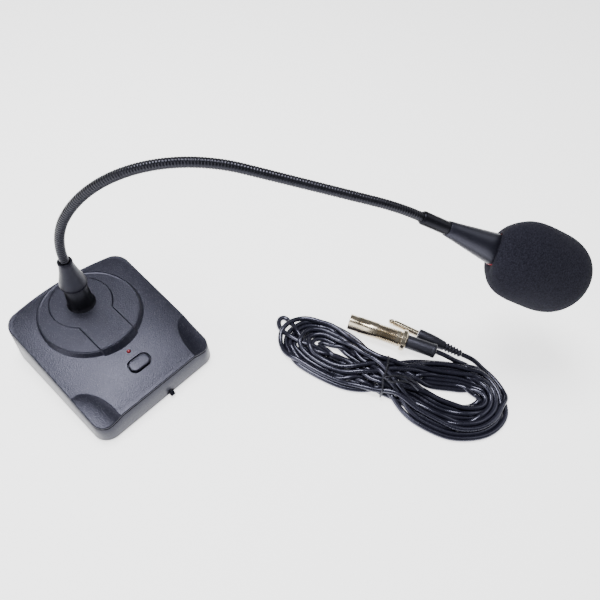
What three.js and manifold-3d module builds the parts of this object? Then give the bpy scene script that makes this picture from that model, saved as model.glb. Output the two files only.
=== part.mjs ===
// Gooseneck podium microphone: a desk base with a push-to-talk button, a spiral-wound gooseneck,
// a foam-covered condenser head, and its detached lead tied in a hank beside it.
// Millimetres, +Z up, +X to the right as seen from the front, front towards -Y.
// Every piece is built around the middle of the base; the whole group is moved at the end.
import * as THREE from "three";
import { mergeVertices } from "three/addons/utils/BufferGeometryUtils.js";
import Module from "manifold-3d";

const wasm = await Module();
wasm.setup();

// ---------------------------------------------------------------- driving dimensions
const GAP = 0.3; // clearance between neighbouring pieces

const BASE_W = 120; // across the front
const BASE_D = 130; // front edge to rear corners
const REAR_BOW = 7; // how far the rear edge bulges
const CORNER_R = 13;
const FOOT_LIFT = 1.5; // underside above the desk
const WALL = 2.4;
const DRAFT = 2; // the walls lean in by this much up to the rim
const RIM_FRONT = 23; // rim height at the front edge
const RIM_REAR = 42; // rim height at the rear corners
const REVEAL = 0.9; // dark groove between housing and cover
const FLOOR_TOP = 4;

const COVER_EDGE = 1.3; // cover thickness seen above the groove
const CROWN = 2.2; // bulge of the cover in the middle
const SCOOP_X = 21; // thumb scoops at the two front corners
const SCOOP_Y = 38;
const SCOOP_BOWL = 7.4; // depth of the bowl that cuts them, and how much of it cuts
const SCOOP_DEPTH = 4.6;

const DISC_Y = 27; // raised round plinth
const DISC_R = 41.4;
const DISC_TILT = 0.09;
const DISC_FRONT_Z = 36.3; // plinth height at its front edge
const BOSS_Y = 39; // centre of the gooseneck's boss
const BOSS_TOP = 66.3;
const TONGUE_HALF = 16.5;
const INNER_R = 26;

const BUTTON_Y = -37.7;
const BUTTON_W = 18.6;
const BUTTON_D = 11.1;
const BUTTON_TRAVEL = 2;
const LED_Y = -24;

const NECK_R = 3.75;
const NECK_START_Z = 90;
const NECK_HEADING = THREE.MathUtils.degToRad(-47.4); // plan direction, from +X
const NECK_RUNS = [
  // [length, total turn in degrees], from the collar to the head
  [8, 0],
  [48.3, 32.5],
  [146.4, 70.5],
  [94.4, 0],
  [38.5, 10.5],
];
const FIRST_HINGE = 24; // arc length from the neck's start to its first bending point
const HINGE_STEP = 38.5;
const HINGES = 8;

const SHELL_START = 24; // along the head's axis from the end of the neck
const SHELL_END = 74;
const SHELL_R0 = 5.85;
const SHELL_R1 = 12.5;
const FOAM_MID = 125.5;
const FOAM_NOSE = 36.4;
const FOAM_R = 33.2;

const CORD_R = 2.3;
const HANK_H = 15;
const TIE_AT = new THREE.Vector3(147.9, -192.8, 0); // where the hank is tied
const HANK_DIR = new THREE.Vector2(0.535, -0.845).normalize();

// ---------------------------------------------------------------- materials
function material(color, roughness, metalness = 0) {
  return new THREE.MeshStandardMaterial({ color, roughness, metalness });
}

const CASE_BLACK = material(0x33343a, 0.55);
const SOFT_BLACK = material(0x1b1b1d, 0.8);
const GLOSS_BLACK = material(0x101012, 0.15);
const FOAM_BLACK = material(0x1c1c1e, 0.95);
const NECK_BLACK = material(0x17171a, 0.35, 0.5);
const NICKEL = material(0xc9c2b4, 0.2, 1);
const STEEL = material(0x8d9094, 0.45, 1);
const BRASS = material(0xb08d4a, 0.35, 1);
const RED_CLEAR = material(0xa01818, 0.25);
const BOARD_GREEN = material(0x1f5a34, 0.5);
const CELL_WRAP = material(0x3a4a5c, 0.35);

// ---------------------------------------------------------------- solids
function solid(geometry) {
  const bare = (geometry.index ? geometry.toNonIndexed() : geometry.clone());
  bare.deleteAttribute("normal");
  bare.deleteAttribute("uv");
  const merged = mergeVertices(bare, 1e-4);
  return new wasm.Manifold(
    new wasm.Mesh({
      numProp: 3,
      vertProperties: merged.attributes.position.array,
      triVerts: new Uint32Array(merged.index.array),
    }),
  );
}

function geometryOf(body) {
  const mesh = body.getMesh();
  return new THREE.BufferGeometry()
    .setAttribute("position", new THREE.BufferAttribute(mesh.vertProperties, 3))
    .setIndex(new THREE.BufferAttribute(mesh.triVerts, 1));
}

function combine(base, added, removed = []) {
  let body = solid(base);
  for (const g of added) body = body.add(solid(g));
  for (const g of removed) body = body.subtract(solid(g));
  return geometryOf(body);
}

function cut(base, ...removed) {
  return combine(base, [], removed);
}

function box(x0, x1, y0, y1, z0, z1) {
  return new THREE.BoxGeometry(x1 - x0, y1 - y0, z1 - z0).translate(
    (x0 + x1) / 2,
    (y0 + y1) / 2,
    (z0 + z1) / 2,
  );
}

// Surface of revolution about +Z; the profile is [radius, z], outside from bottom to top.
function turned(profile, segments = 24) {
  const points = profile.map(([r, z]) => new THREE.Vector2(r, z));
  return new THREE.LatheGeometry(points, segments).rotateX(Math.PI / 2);
}

function rod(radius, z0, z1, segments = 20) {
  return turned([[0, z0], [radius, z0], [radius, z1], [0, z1]], segments);
}

function pipe(outer, inner, z0, z1, segments = 24) {
  return turned([[inner, z0], [outer, z0], [outer, z1], [inner, z1], [inner, z0]], segments);
}

// Closed skin over rings of equal point counts, from a pole below to a pole above.
function ringSolid(bottomPole, rings, topPole) {
  const count = rings[0].length;
  const points = [bottomPole, ...rings.flat(), topPole];
  const top = points.length - 1;
  const index = [];
  for (let i = 0; i < count; i++) {
    const next = (i + 1) % count;
    index.push(0, 1 + next, 1 + i);
    for (let k = 0; k + 1 < rings.length; k++) {
      const a = 1 + k * count;
      const b = a + count;
      index.push(a + i, a + next, b + next, a + i, b + next, b + i);
    }
    const last = 1 + (rings.length - 1) * count;
    index.push(last + i, last + next, top);
  }
  const geometry = new THREE.BufferGeometry().setFromPoints(points);
  geometry.setIndex(index);
  return geometry;
}

// Rod of a round section along a curve; sides is even.
function sweep(curve, radius, steps, sides) {
  const section = new THREE.Shape().absarc(0, 0, radius, 0, 2 * Math.PI, false);
  return new THREE.ExtrudeGeometry(section, {
    steps,
    curveSegments: sides / 2,
    extrudePath: curve,
  });
}

const root = new THREE.Group();

function piece(parent, name, geometry, look) {
  const mesh = new THREE.Mesh(geometry, look);
  mesh.name = name;
  parent.add(mesh);
  return mesh;
}

// ---------------------------------------------------------------- base outline and heights
const SIDE_STEPS = 6;
const CORNER_STEPS = 5;

// Plan outline of the base, drawn in by inset: a rounded rectangle with a bulging rear edge.
function plan(inset) {
  const w = BASE_W / 2 - inset;
  const d = BASE_D / 2 - inset;
  const r = Math.max(CORNER_R - inset, 1);
  const corners = [
    [w - r, -d + r, -90],
    [w - r, d - r, 0],
    [-w + r, d - r, 90],
    [-w + r, -d + r, 180],
  ];
  const outline = [];
  corners.forEach(([cx, cy, from], k) => {
    for (let i = 0; i <= CORNER_STEPS; i++) {
      const a = THREE.MathUtils.degToRad(from + (90 * i) / CORNER_STEPS);
      outline.push(new THREE.Vector2(cx + r * Math.cos(a), cy + r * Math.sin(a)));
    }
    const [nx, ny, next] = corners[(k + 1) % 4];
    const a = THREE.MathUtils.degToRad(next);
    const end = new THREE.Vector2(nx + r * Math.cos(a), ny + r * Math.sin(a));
    const start = outline[outline.length - 1];
    for (let i = 1; i < SIDE_STEPS; i++) {
      outline.push(start.clone().lerp(end, i / SIDE_STEPS));
    }
  });
  for (const p of outline) {
    if (p.y > 0) p.y += REAR_BOW * Math.max(0, 1 - (p.x / w) ** 2);
  }
  return outline;
}

function rimPlane(y) {
  return RIM_FRONT + ((RIM_REAR - RIM_FRONT) * (y + BASE_D / 2)) / BASE_D;
}

// 1 at a front corner, falling to 0 at the edge of its thumb scoop.
function scoopShare(x, y, margin = 0) {
  const dx = (Math.abs(x) - BASE_W / 2) / (SCOOP_X + margin);
  const dy = (y + BASE_D / 2) / (SCOOP_Y + 1.8 * margin);
  return Math.max(0, 1 - dx * dx - dy * dy) ** 0.8;
}

function rimHeight(x, y) {
  return rimPlane(y) - 4.2 * scoopShare(x, y);
}

function ring(outline, height) {
  return outline.map((p) => new THREE.Vector3(p.x, p.y, height(p.x, p.y)));
}

const SLOPE = Math.atan((RIM_REAR - RIM_FRONT) / BASE_D);

function coverTop(y) {
  return rimPlane(y) + COVER_EDGE + CROWN;
}

function discTop(y) {
  return DISC_FRONT_Z + DISC_TILT * (y - DISC_Y + DISC_R);
}

// ---------------------------------------------------------------- places shared by several pieces
const SCREWS = [
  [-50, -33],
  [50, -33],
  [-46, 44],
  [46, 44],
];
const FEET = [
  [-48, -53],
  [48, -53],
  [-47, 57],
  [47, 57],
];
const SCREW_SEAT = 6; // top of the housing's screw bosses
const FOOT_R = 6;
const BAY = { x0: 24.5, x1: 56, y0: -20, y1: 38, top: 19.2 }; // battery compartment
const SOCKET_Z = 23;
const SOCKET_R = 11.5;
const SWITCH_X = 7;
const SWITCH_Z = 5;

// ---------------------------------------------------------------- housing: tray with walls, floor and battery bay
function housing() {
  const seat = (x, y) => rimHeight(x, y) - REVEAL;
  const shell = ringSolid(
    new THREE.Vector3(0, 0, FOOT_LIFT),
    [
      ring(plan(1), () => FOOT_LIFT),
      ring(plan(0), () => FOOT_LIFT + 1.2),
      ring(plan(DRAFT), seat),
      ring(plan(DRAFT + WALL), seat),
      ring(plan(WALL), () => FLOOR_TOP),
    ],
    new THREE.Vector3(0, 0, FLOOR_TOP),
  );
  const bayShell = box(BAY.x0 - 1.6, 57.8, BAY.y0 - 1.6, BAY.y1 + 1.6, 3, BAY.top + 1.6);
  const bay = box(BAY.x0, BAY.x1, BAY.y0, BAY.y1, 0, BAY.top);
  const doorway = box(BAY.x0, BASE_W, BAY.y0, BAY.y1, 0, 3.8);
  const socketHole = rod(SOCKET_R + GAP, 40, 90).rotateX(-Math.PI / 2).translate(0, 0, SOCKET_Z);
  const knobSlot = box(SWITCH_X - 3.6, SWITCH_X + 3.6, -70, -60, SWITCH_Z - 1.0, SWITCH_Z + 1.0);
  const footPockets = FEET.map(([x, y]) => rod(FOOT_R + GAP, 0, 2.5).translate(x, y, 0));
  const screwBosses = SCREWS.map(([x, y]) => rod(5.4, 3, SCREW_SEAT, 16).translate(x, y, 0));
  const screwHoles = SCREWS.flatMap(([x, y]) => [
    rod(1.8, 0, 9, 12).translate(x, y, 0),
    rod(3.3, 0, 4, 16).translate(x, y, 0),
  ]);
  return combine(
    shell,
    [bayShell, ...screwBosses],
    [bay, doorway, socketHole, knobSlot, ...footPockets, ...screwHoles],
  );
}

piece(root, "base_housing", housing(), CASE_BLACK);

// ---------------------------------------------------------------- cover: crowned lid, scoops, plinth, tongue and boss
function scaled(outline, share) {
  return outline.map((p) => new THREE.Vector2(p.x * share, 3 + (p.y - 3) * share));
}

function coverShell() {
  const edge = plan(DRAFT + 0.8);
  const crown = (share) => (x, y) => rimPlane(y) + COVER_EDGE + CROWN * (1 - share ** 2.5);
  const under = (x, y) => rimPlane(y) + 0.7 - 5.6 * scoopShare(x, y, 4);
  const shares = [0.95, 0.86, 0.72, 0.54, 0.3];
  return ringSolid(
    new THREE.Vector3(0, 3, under(0, 3)),
    [
      ...[0.3, 0.6, 0.82].map((s) => ring(scaled(edge, s), under)),
      ring(plan(DRAFT + WALL + 0.6), (x, y) => rimHeight(x, y)),
      ring(plan(DRAFT + 0.1), (x, y) => rimHeight(x, y)),
      ring(plan(DRAFT + 0.1), (x, y) => rimHeight(x, y) + 0.6),
      ring(edge, (x, y) => rimHeight(x, y) + COVER_EDGE),
      ...shares.map((s) => ring(scaled(edge, s), crown(s))),
    ],
    new THREE.Vector3(0, 3, coverTop(3)),
  );
}

function scoop(side) {
  return new THREE.SphereGeometry(1, 32, 16)
    .scale(SCOOP_X / 0.875, SCOOP_Y / 0.875, SCOOP_BOWL)
    .rotateX(SLOPE)
    .translate((side * BASE_W) / 2, -BASE_D / 2, RIM_FRONT + COVER_EDGE + 0.4 + SCOOP_BOWL - SCOOP_DEPTH);
}

// Inner lip that keys the cover inside the housing walls.
function coverLip() {
  const high = (x, y) => rimHeight(x, y) + 0.3;
  const low = (x, y) => rimHeight(x, y) - 4;
  const outer = (height) => ring(plan(DRAFT + WALL + GAP), height);
  const inner = (height) => ring(plan(DRAFT + WALL + GAP + 1.4), height);
  const plug = ringSolid(
    new THREE.Vector3(0, 3, rimPlane(3) - 4),
    [outer(low), outer(high)],
    new THREE.Vector3(0, 3, rimPlane(3) + 0.3),
  );
  const core = ringSolid(
    new THREE.Vector3(0, 3, rimPlane(3) - 5),
    [inner((x, y) => low(x, y) - 1), inner((x, y) => high(x, y) + 1)],
    new THREE.Vector3(0, 3, rimPlane(3) + 2),
  );
  return cut(plug, core);
}

// The plinth's disc, tilted a little less than the cover, with a bevelled front edge.
function plinth() {
  const disc = turned(
    [[0, -2.4], [DISC_R + 2.4, -2.4], [DISC_R, 0], [0, 0]],
    56,
  )
    .rotateX(Math.atan(DISC_TILT))
    .translate(0, DISC_Y, discTop(DISC_Y));
  const below = box(-80, 80, -90, 90, -30, 0.9).rotateX(SLOPE).translate(0, 0, rimPlane(0));
  return cut(disc, below);
}

// Raised field on the plinth: a circle round the boss with a tongue towards the front.
function tongue() {
  const reach = (y) => Math.sqrt(DISC_R ** 2 - y ** 2) - 0.6;
  const join = -Math.sqrt(INNER_R ** 2 - TONGUE_HALF ** 2);
  const front = -reach(TONGUE_HALF) + DISC_Y - BOSS_Y;
  const sweepFrom = Math.atan2(join, TONGUE_HALF);
  const shape = new THREE.Shape()
    .moveTo(-TONGUE_HALF, front)
    .lineTo(-TONGUE_HALF / 2, -reach(TONGUE_HALF / 2) + DISC_Y - BOSS_Y)
    .lineTo(0, -reach(0) + DISC_Y - BOSS_Y)
    .lineTo(TONGUE_HALF / 2, -reach(TONGUE_HALF / 2) + DISC_Y - BOSS_Y)
    .lineTo(TONGUE_HALF, front)
    .lineTo(TONGUE_HALF, join)
    .absarc(0, 0, INNER_R, sweepFrom, Math.PI - sweepFrom, false);
  return new THREE.ExtrudeGeometry(shape, { depth: 1.4, bevelEnabled: false, curveSegments: 14 })
    .translate(0, 0, -0.6)
    .rotateX(Math.atan(DISC_TILT))
    .translate(0, BOSS_Y, discTop(BOSS_Y));
}

function boss() {
  const foot = discTop(BOSS_Y);
  return turned(
    [[0, 31], [8.6, 31], [8.6, foot - 4], [13.2, foot - 0.5], [12.2, foot + 1.2], [10.9, foot + 3],
      [9.4, BOSS_TOP], [0, BOSS_TOP]],
    32,
  ).translate(0, BOSS_Y, 0);
}

// Frame on the cover at the button: local Z is the cover's normal.
function onCover(geometry, y) {
  return geometry.rotateX(SLOPE).translate(0, y, coverTop(y));
}

function roundedPrism(w, d, r, z0, z1) {
  const x = w / 2 - r;
  const y = d / 2 - r;
  const shape = new THREE.Shape()
    .absarc(x, -y, r, -Math.PI / 2, 0, false)
    .absarc(x, y, r, 0, Math.PI / 2, false)
    .absarc(-x, y, r, Math.PI / 2, Math.PI, false)
    .absarc(-x, -y, r, Math.PI, 1.5 * Math.PI, false);
  return new THREE.ExtrudeGeometry(shape, {
    depth: z1 - z0,
    bevelEnabled: false,
    curveSegments: 3,
  }).translate(0, 0, z0);
}

const BOARD_TOP = -12.9; // below the cover's surface, along its normal
const BOARD_POSTS = [
  [-24, 12],
  [18, 12],
  [-24, -8],
  [18, -8],
];

function topCover() {
  const screwPosts = SCREWS.map(([x, y]) => {
    const post = rod(3.5, SCREW_SEAT + GAP, rimPlane(y) + 1, 16);
    return post.translate(x, y, 0);
  });
  const boardPosts = BOARD_POSTS.map(([x, y]) =>
    onCover(rod(2.2, BOARD_TOP + GAP, -2, 10).translate(x, y, 0), BUTTON_Y));
  const pilots = SCREWS.map(([x, y]) => rod(1.7, 0, 15.5, 12).translate(x, y, 0));
  const buttonHole = onCover(roundedPrism(BUTTON_W + 2.4, BUTTON_D + 2.4, 6, -9, 9), BUTTON_Y);
  const ledHole = onCover(rod(1.8, -9, 9, 20), LED_Y);
  const neckHole = rod(5.6, 0, 90, 32).translate(0, BOSS_Y, 0);
  return combine(
    coverShell(),
    [coverLip(), plinth(), tongue(), boss(), ...screwPosts, ...boardPosts],
    [scoop(-1), scoop(1), buttonHole, ledHole, neckHole, ...pilots],
  );
}

piece(root, "top_cover", topCover(), CASE_BLACK);

// ---------------------------------------------------------------- underside: door, feet, screws, ballast
const door = combine(
  box(BAY.x0 + GAP, 59.1, BAY.y0 + GAP, BAY.y1 - GAP, FOOT_LIFT, 3.5),
  [box(59, 59.9, BAY.y0 + GAP, BAY.y1 - GAP, FOOT_LIFT + 1, 3.5)],
  [0, 1, 2, 3].map((i) => box(46 + 2.4 * i, 47.2 + 2.4 * i, 3, 15, 1, 2.2)),
);
piece(root, "battery_door", door, CASE_BLACK);

FEET.forEach(([x, y], i) => {
  const foot = turned([[0, 0], [FOOT_R - 0.6, 0], [FOOT_R, 0.6], [FOOT_R, 2.2], [0, 2.2]], 20);
  piece(root, `foot_${i + 1}`, foot.translate(x, y, 0), SOFT_BLACK);
});

SCREWS.forEach(([x, y], i) => {
  const cross = [box(-1.6, 1.6, -0.35, 0.35, 1, 3), box(-0.35, 0.35, -1.6, 1.6, 1, 3)];
  const screw = combine(
    turned([[0, 2], [2.5, 2], [2.9, 2.4], [2.9, 3.7], [1.4, 3.7], [1.4, 14.2], [0, 15]], 12),
    [],
    cross,
  );
  piece(root, `case_screw_${i + 1}`, screw.translate(x, y, 0), STEEL);
});

const ballast = cut(
  box(-43, 20, -52, 36, FLOOR_TOP + GAP, FLOOR_TOP + GAP + 6),
  box(-60, -34, -60, -40, 0, 20),
);
piece(root, "ballast_plate", ballast, STEEL);

// ---------------------------------------------------------------- battery bay: two cells and their contacts
const CELL_R = 7.1;
const CELL_XS = [32.6, 47.8];
const CELL_Z = 11.5;

CELL_XS.forEach((x, i) => {
  const profile = [[0, 0], [CELL_R - 0.5, 0], [CELL_R, 0.5], [CELL_R, 48.4], [CELL_R - 0.5, 48.9],
    [2.7, 48.9], [2.7, 50.3], [0, 50.3]];
  const cell = turned(profile, 20).rotateX(-Math.PI / 2);
  if (i === 1) cell.rotateZ(Math.PI);
  const middle = (BAY.y0 + BAY.y1) / 2;
  cell.translate(x, middle + (i === 0 ? -25.15 : 25.15), CELL_Z);
  piece(root, `battery_${i + 1}`, cell, CELL_WRAP);
});

// One contact strip per end: a plate with a coil-shaped cone for one cell and a dimple for the other.
function contactStrip(coilX, dimpleX) {
  const plate = box(BAY.x0 + 1, BAY.x1 - 1, 0, 0.6, 4.6, 18.4);
  const coil = turned([[0, 0.2], [4.6, 0.2], [2.6, 3], [0, 3]], 12);
  const dimple = turned([[0, 0.2], [2.4, 0.2], [1.6, 1.2], [0, 1.2]], 12);
  return combine(plate, [
    coil.rotateX(-Math.PI / 2).translate(coilX, 0, CELL_Z),
    dimple.rotateX(-Math.PI / 2).translate(dimpleX, 0, CELL_Z),
  ]);
}

piece(
  root,
  "battery_contact_front",
  contactStrip(CELL_XS[0], CELL_XS[1]).translate(0, BAY.y0 + 0.3, 0),
  STEEL,
);
piece(
  root,
  "battery_contact_rear",
  contactStrip(CELL_XS[0], CELL_XS[1])
    .translate(-(BAY.x0 + BAY.x1) / 2, 0, 0)
    .rotateZ(Math.PI)
    .translate((BAY.x0 + BAY.x1) / 2, BAY.y1 - 0.3, 0),
  STEEL,
);

// ---------------------------------------------------------------- button, lamp, circuit board and switches
const cap = combine(
  roundedPrism(BUTTON_W - 1, BUTTON_D - 1, 4.4, -2.4, 1.2),
  [
    roundedPrism(BUTTON_W, BUTTON_D, 4.9, -2.4, 0.7),
    roundedPrism(BUTTON_W + 5, BUTTON_D + 5, 5.4, -4.2, -3.1),
    roundedPrism(BUTTON_W - 2, BUTTON_D - 2, 4, -4, -2),
    rod(2, -8.6, -4, 16),
  ],
);
piece(root, "power_button", onCover(cap, BUTTON_Y), CASE_BLACK);

const lamp = combine(
  turned([[0, -4.5], [1.5, -4.5], [1.5, 0], [1.2, 0.6], [0.7, 1], [0, 1.1]], 12),
  [rod(1.9, -5.3, -4.3, 12), box(-1.0, -0.5, -0.25, 0.25, -12.6, -5), box(0.5, 1.0, -0.25, 0.25, -12.6, -5)],
);
piece(root, "power_led", onCover(lamp, LED_Y), RED_CLEAR);

const board = box(-28, 22, -15, 19, BOARD_TOP - 1.6, BOARD_TOP);
piece(root, "circuit_board", onCover(board, BUTTON_Y), BOARD_GREEN);

const latchSwitch = cut(box(-4.25, 4.25, -4.25, 4.25, BOARD_TOP + GAP, -6.6), rod(2.3, -11.4, -5, 16));
piece(root, "latch_switch", onCover(latchSwitch, BUTTON_Y), SOFT_BLACK);

const slideBody = cut(
  box(SWITCH_X - 6, SWITCH_X + 6, -62, -57, FLOOR_TOP + GAP, 9.4),
  box(SWITCH_X - 3.6, SWITCH_X + 3.6, -63, -59, 0, SWITCH_Z + 1),
);
piece(root, "slide_switch_body", slideBody, STEEL);

const knobShape = new THREE.Shape([
  new THREE.Vector2(-65.4, 3.4),
  new THREE.Vector2(-65.4, 6.6),
  new THREE.Vector2(-66.4, 6.6),
  new THREE.Vector2(-68.8, 4.6),
  new THREE.Vector2(-68.8, 3.4),
]);
const knobWedge = new THREE.ExtrudeGeometry(knobShape, { depth: 4.2, bevelEnabled: false })
  .rotateX(Math.PI / 2)
  .rotateZ(Math.PI / 2)
  .translate(SWITCH_X - 2.1, 0, 0);
const knob = combine(knobWedge, [
  box(SWITCH_X - 1, SWITCH_X + 1, -65.8, -59.8, SWITCH_Z - 0.6, SWITCH_Z + 0.6),
]);
piece(root, "slide_switch_knob", knob, SOFT_BLACK);

// ---------------------------------------------------------------- rear socket: shell, insulator and three pins
function fromRear(geometry) {
  return geometry.rotateX(-Math.PI / 2).translate(0, 0, SOCKET_Z);
}

const SOCKET_MOUTH = 72;
const socketShell = turned(
  [[9.6, 50], [SOCKET_R, 50], [SOCKET_R, SOCKET_MOUTH + GAP], [13.2, SOCKET_MOUTH + GAP],
    [12.6, SOCKET_MOUTH + 1.6], [9.6, SOCKET_MOUTH + 1.6], [9.6, 50]],
  28,
);
piece(root, "xlr_socket_shell", fromRear(socketShell), STEEL);
piece(root, "xlr_socket_insert", fromRear(rod(9.3, 50, 56, 28)), SOFT_BLACK);
[[-3.5, 2], [3.5, 2], [0, -4]].forEach(([x, z], i) => {
  const pin = turned([[0, 56.3], [1.2, 56.3], [1.2, 66], [0.7, 66.8], [0, 66.8]], 10);
  piece(root, `xlr_socket_pin_${i + 1}`, fromRear(pin.translate(x, -z, 0)), BRASS);
});

// ---------------------------------------------------------------- gooseneck fixing: stem, washer, nut, collar
const atBoss = (geometry) => geometry.translate(0, BOSS_Y, 0);
const stem = pipe(5.2, 2.6, 23, 71.6, 24);
piece(root, "neck_stem", atBoss(stem), BRASS);
piece(root, "neck_washer", atBoss(pipe(9, 5.5, 29.5, 30.7, 24)), STEEL);
const nut = cut(rod(8, 25.2, 29.2, 6), rod(5.5, 25, 30, 20));
piece(root, "neck_nut", atBoss(nut), BRASS);
const collarProfile = [[5.6, BOSS_TOP + GAP], [10.6, BOSS_TOP + GAP], [11.1, 67.8], [10.9, 70], [9.6, 75],
  [7.9, 81], [6.5, 87], [5.6, 92], [5.4, 93.2], [5.9, 93.6], [5.9, 95.4], [4.2, 95.4], [4.2, 80],
  [5.6, 74], [5.6, BOSS_TOP + GAP]];
piece(root, "neck_collar", atBoss(turned(collarProfile, 28)), SOFT_BLACK);

// ---------------------------------------------------------------- gooseneck centreline
// Straight and circular runs in the upright plane through the boss.
class NeckLine extends THREE.Curve {
  constructor(from, to) {
    super();
    this.from = from;
    this.to = to;
  }

  static at(length) {
    let angle = Math.PI / 2;
    let along = 0;
    let z = NECK_START_Z;
    let left = length;
    NECK_RUNS.forEach(([run, turn], i) => {
      const last = i === NECK_RUNS.length - 1;
      const part = last ? left : Math.min(left, run);
      const swing = (THREE.MathUtils.degToRad(turn) * Math.min(part, run)) / run;
      const chord = swing ? (2 * part * Math.sin(swing / 2)) / swing : part;
      along += chord * Math.cos(angle - swing / 2);
      z += chord * Math.sin(angle - swing / 2);
      angle -= swing;
      left -= part;
    });
    return { along, z, angle };
  }

  getPoint(t, target = new THREE.Vector3()) {
    const { along, z } = NeckLine.at(this.from + (this.to - this.from) * t);
    return target.set(
      along * Math.cos(NECK_HEADING),
      BOSS_Y + along * Math.sin(NECK_HEADING),
      z,
    );
  }
}

const NECK_LENGTH = NECK_RUNS.reduce((sum, [run]) => sum + run, 0);
const hinge = (k) => FIRST_HINGE + HINGE_STEP * (k - 1);

// Each length of the neck ends in a ball that turns in the hollow end of the next.
function neckLink(k) {
  const from = k === 0 ? -17.8 : hinge(k);
  const to = k === HINGES ? NECK_LENGTH - 0.3 : hinge(k + 1);
  const tube = sweep(new NeckLine(from, to), NECK_R, 5, 12);
  const balls = [];
  const hollows = [];
  if (k < HINGES) {
    const end = new NeckLine(to, to).getPoint(0);
    balls.push(new THREE.SphereGeometry(NECK_R, 12, 8).translate(end.x, end.y, end.z));
  }
  if (k > 0) {
    const start = new NeckLine(from, from).getPoint(0);
    hollows.push(new THREE.SphereGeometry(NECK_R + 0.4, 12, 8).translate(start.x, start.y, start.z));
  }
  return combine(tube, balls, hollows);
}

for (let k = 0; k <= HINGES; k++) piece(root, `neck_link_${k}`, neckLink(k), NECK_BLACK);

// ---------------------------------------------------------------- head, turned about its own axis
const neckEnd = NeckLine.at(NECK_LENGTH);
const endPoint = new NeckLine(NECK_LENGTH, NECK_LENGTH).getPoint(0);
const head = new THREE.Group();
head.position.copy(endPoint);
head.quaternion.setFromUnitVectors(
  new THREE.Vector3(0, 0, 1),
  new THREE.Vector3(
    Math.cos(neckEnd.angle) * Math.cos(NECK_HEADING),
    Math.cos(neckEnd.angle) * Math.sin(NECK_HEADING),
    Math.sin(neckEnd.angle),
  ),
);
root.add(head);

const ferrule = turned(
  [[0, 0], [4.4, 0], [5.25, 1.6], [5.25, SHELL_START], [3.6, SHELL_START], [3.6, 29], [0, 29]],
  28,
);
piece(head, "ferrule", ferrule, GLOSS_BLACK);

const shellProfile = [[3.9, SHELL_START + GAP], [SHELL_R0, SHELL_START + GAP], [7.4, 36], [SHELL_R1 - 0.2, 71.6],
  [SHELL_R1, SHELL_END - 0.8], [SHELL_R1 - 0.4, SHELL_END], [11, SHELL_END], [10.9, 71], [6, 36], [3.9, 30.5],
  [3.9, SHELL_START + GAP]];
piece(head, "head_shell", turned(shellProfile, 28), SOFT_BLACK);
piece(head, "ring_light", pipe(13, 10.6, SHELL_END + GAP, 76.6, 28), RED_CLEAR);
piece(head, "ring_led_board", pipe(9.8, 5.6, 68.4, 69.6, 20), BOARD_GREEN);
piece(head, "capsule_holder", pipe(9.8, 5.3, 70.2, 84, 20), SOFT_BLACK);
const capsule = turned([[0, 77.6], [4.6, 77.6], [4.9, 77.9], [4.9, 84.2], [4.6, 84.5], [0, 84.5]], 20);
piece(head, "mic_capsule", capsule, NICKEL);

const GRILLE_R = 12.1;
const grilleProfile = [[GRILLE_R - 0.9, 77], [GRILLE_R, 77], [GRILLE_R, 98]];
const grilleInside = [[GRILLE_R - 0.9, 98]];
for (let i = 1; i <= 4; i++) {
  const a = (Math.PI / 2) * (i / 4);
  grilleProfile.push([GRILLE_R * Math.cos(a), 98 + 9 * Math.sin(a)]);
  grilleInside.push([(GRILLE_R - 0.9) * Math.cos(a), 98 + 8.1 * Math.sin(a)]);
}
grilleProfile[grilleProfile.length - 1][0] = 0;
grilleInside[grilleInside.length - 1][0] = 0;
const grille = turned([...grilleProfile, ...grilleInside.reverse(), grilleProfile[0]], 24);
piece(head, "grille_basket", grille, STEEL);

// Slip-on windscreen: egg-shaped outside, a round-bottomed socket for the grille inside.
// A short conical shoulder at the mouth, then a blunt barrel with a rounded nose.
const foamProfile = [
  [GRILLE_R + 0.4, 77.2], [14.6, 77.2], [16.2, 78], [18.6, 80.6], [22.2, 85], [25.6, 89.8], [28.6, 94.6],
  [30.6, 98.4], [32, 102.6], [33, 108.5], [FOAM_R, 116], [FOAM_R, FOAM_MID],
];
const FOAM_STEPS = 10;
for (let i = 1; i <= FOAM_STEPS; i++) {
  const a = (Math.PI * i) / (2 * FOAM_STEPS);
  const radius = i === FOAM_STEPS ? 0 : FOAM_R * Math.cos(a) ** 0.72;
  foamProfile.push([radius, FOAM_MID + FOAM_NOSE * Math.sin(a) ** 0.72]);
}
foamProfile.push([0, 108.4], [7.4, 107], [11.2, 103.6], [GRILLE_R + 0.4, 98.6], foamProfile[0]);
piece(head, "foam_windscreen", turned(foamProfile, 32), FOAM_BLACK);

// ---------------------------------------------------------------- detached lead, tied in a hank on the desk
// Hank frame: u along the hank from the tie, w across it.
function hankPoint(u, w, z = 0) {
  return new THREE.Vector3(
    TIE_AT.x + u * HANK_DIR.x - w * HANK_DIR.y,
    TIE_AT.y + u * HANK_DIR.y + w * HANK_DIR.x,
    z,
  );
}

const HANK_OUTLINE = [
  [-107, 32], [-97, 52], [-76, 58], [-56, 50], [-30, 32], [0, 20.5], [30, 21], [56, 26], [78, 34],
  [101, 29], [116, 5], [107, -24], [82, -44], [50, -45], [22, -28], [0, -16.5], [-34, -17], [-66, -9],
  [-92, 8],
];
const hankCurve = new THREE.CatmullRomCurve3(
  HANK_OUTLINE.map(([u, w]) => hankPoint(u, w)),
  true,
);
const hankShape = new THREE.Shape(
  hankCurve.getPoints(48).slice(0, -1).map((p) => new THREE.Vector2(p.x, p.y)).reverse(),
);
const hankBlock = new THREE.ExtrudeGeometry(hankShape, { depth: HANK_H, bevelEnabled: false });

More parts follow.
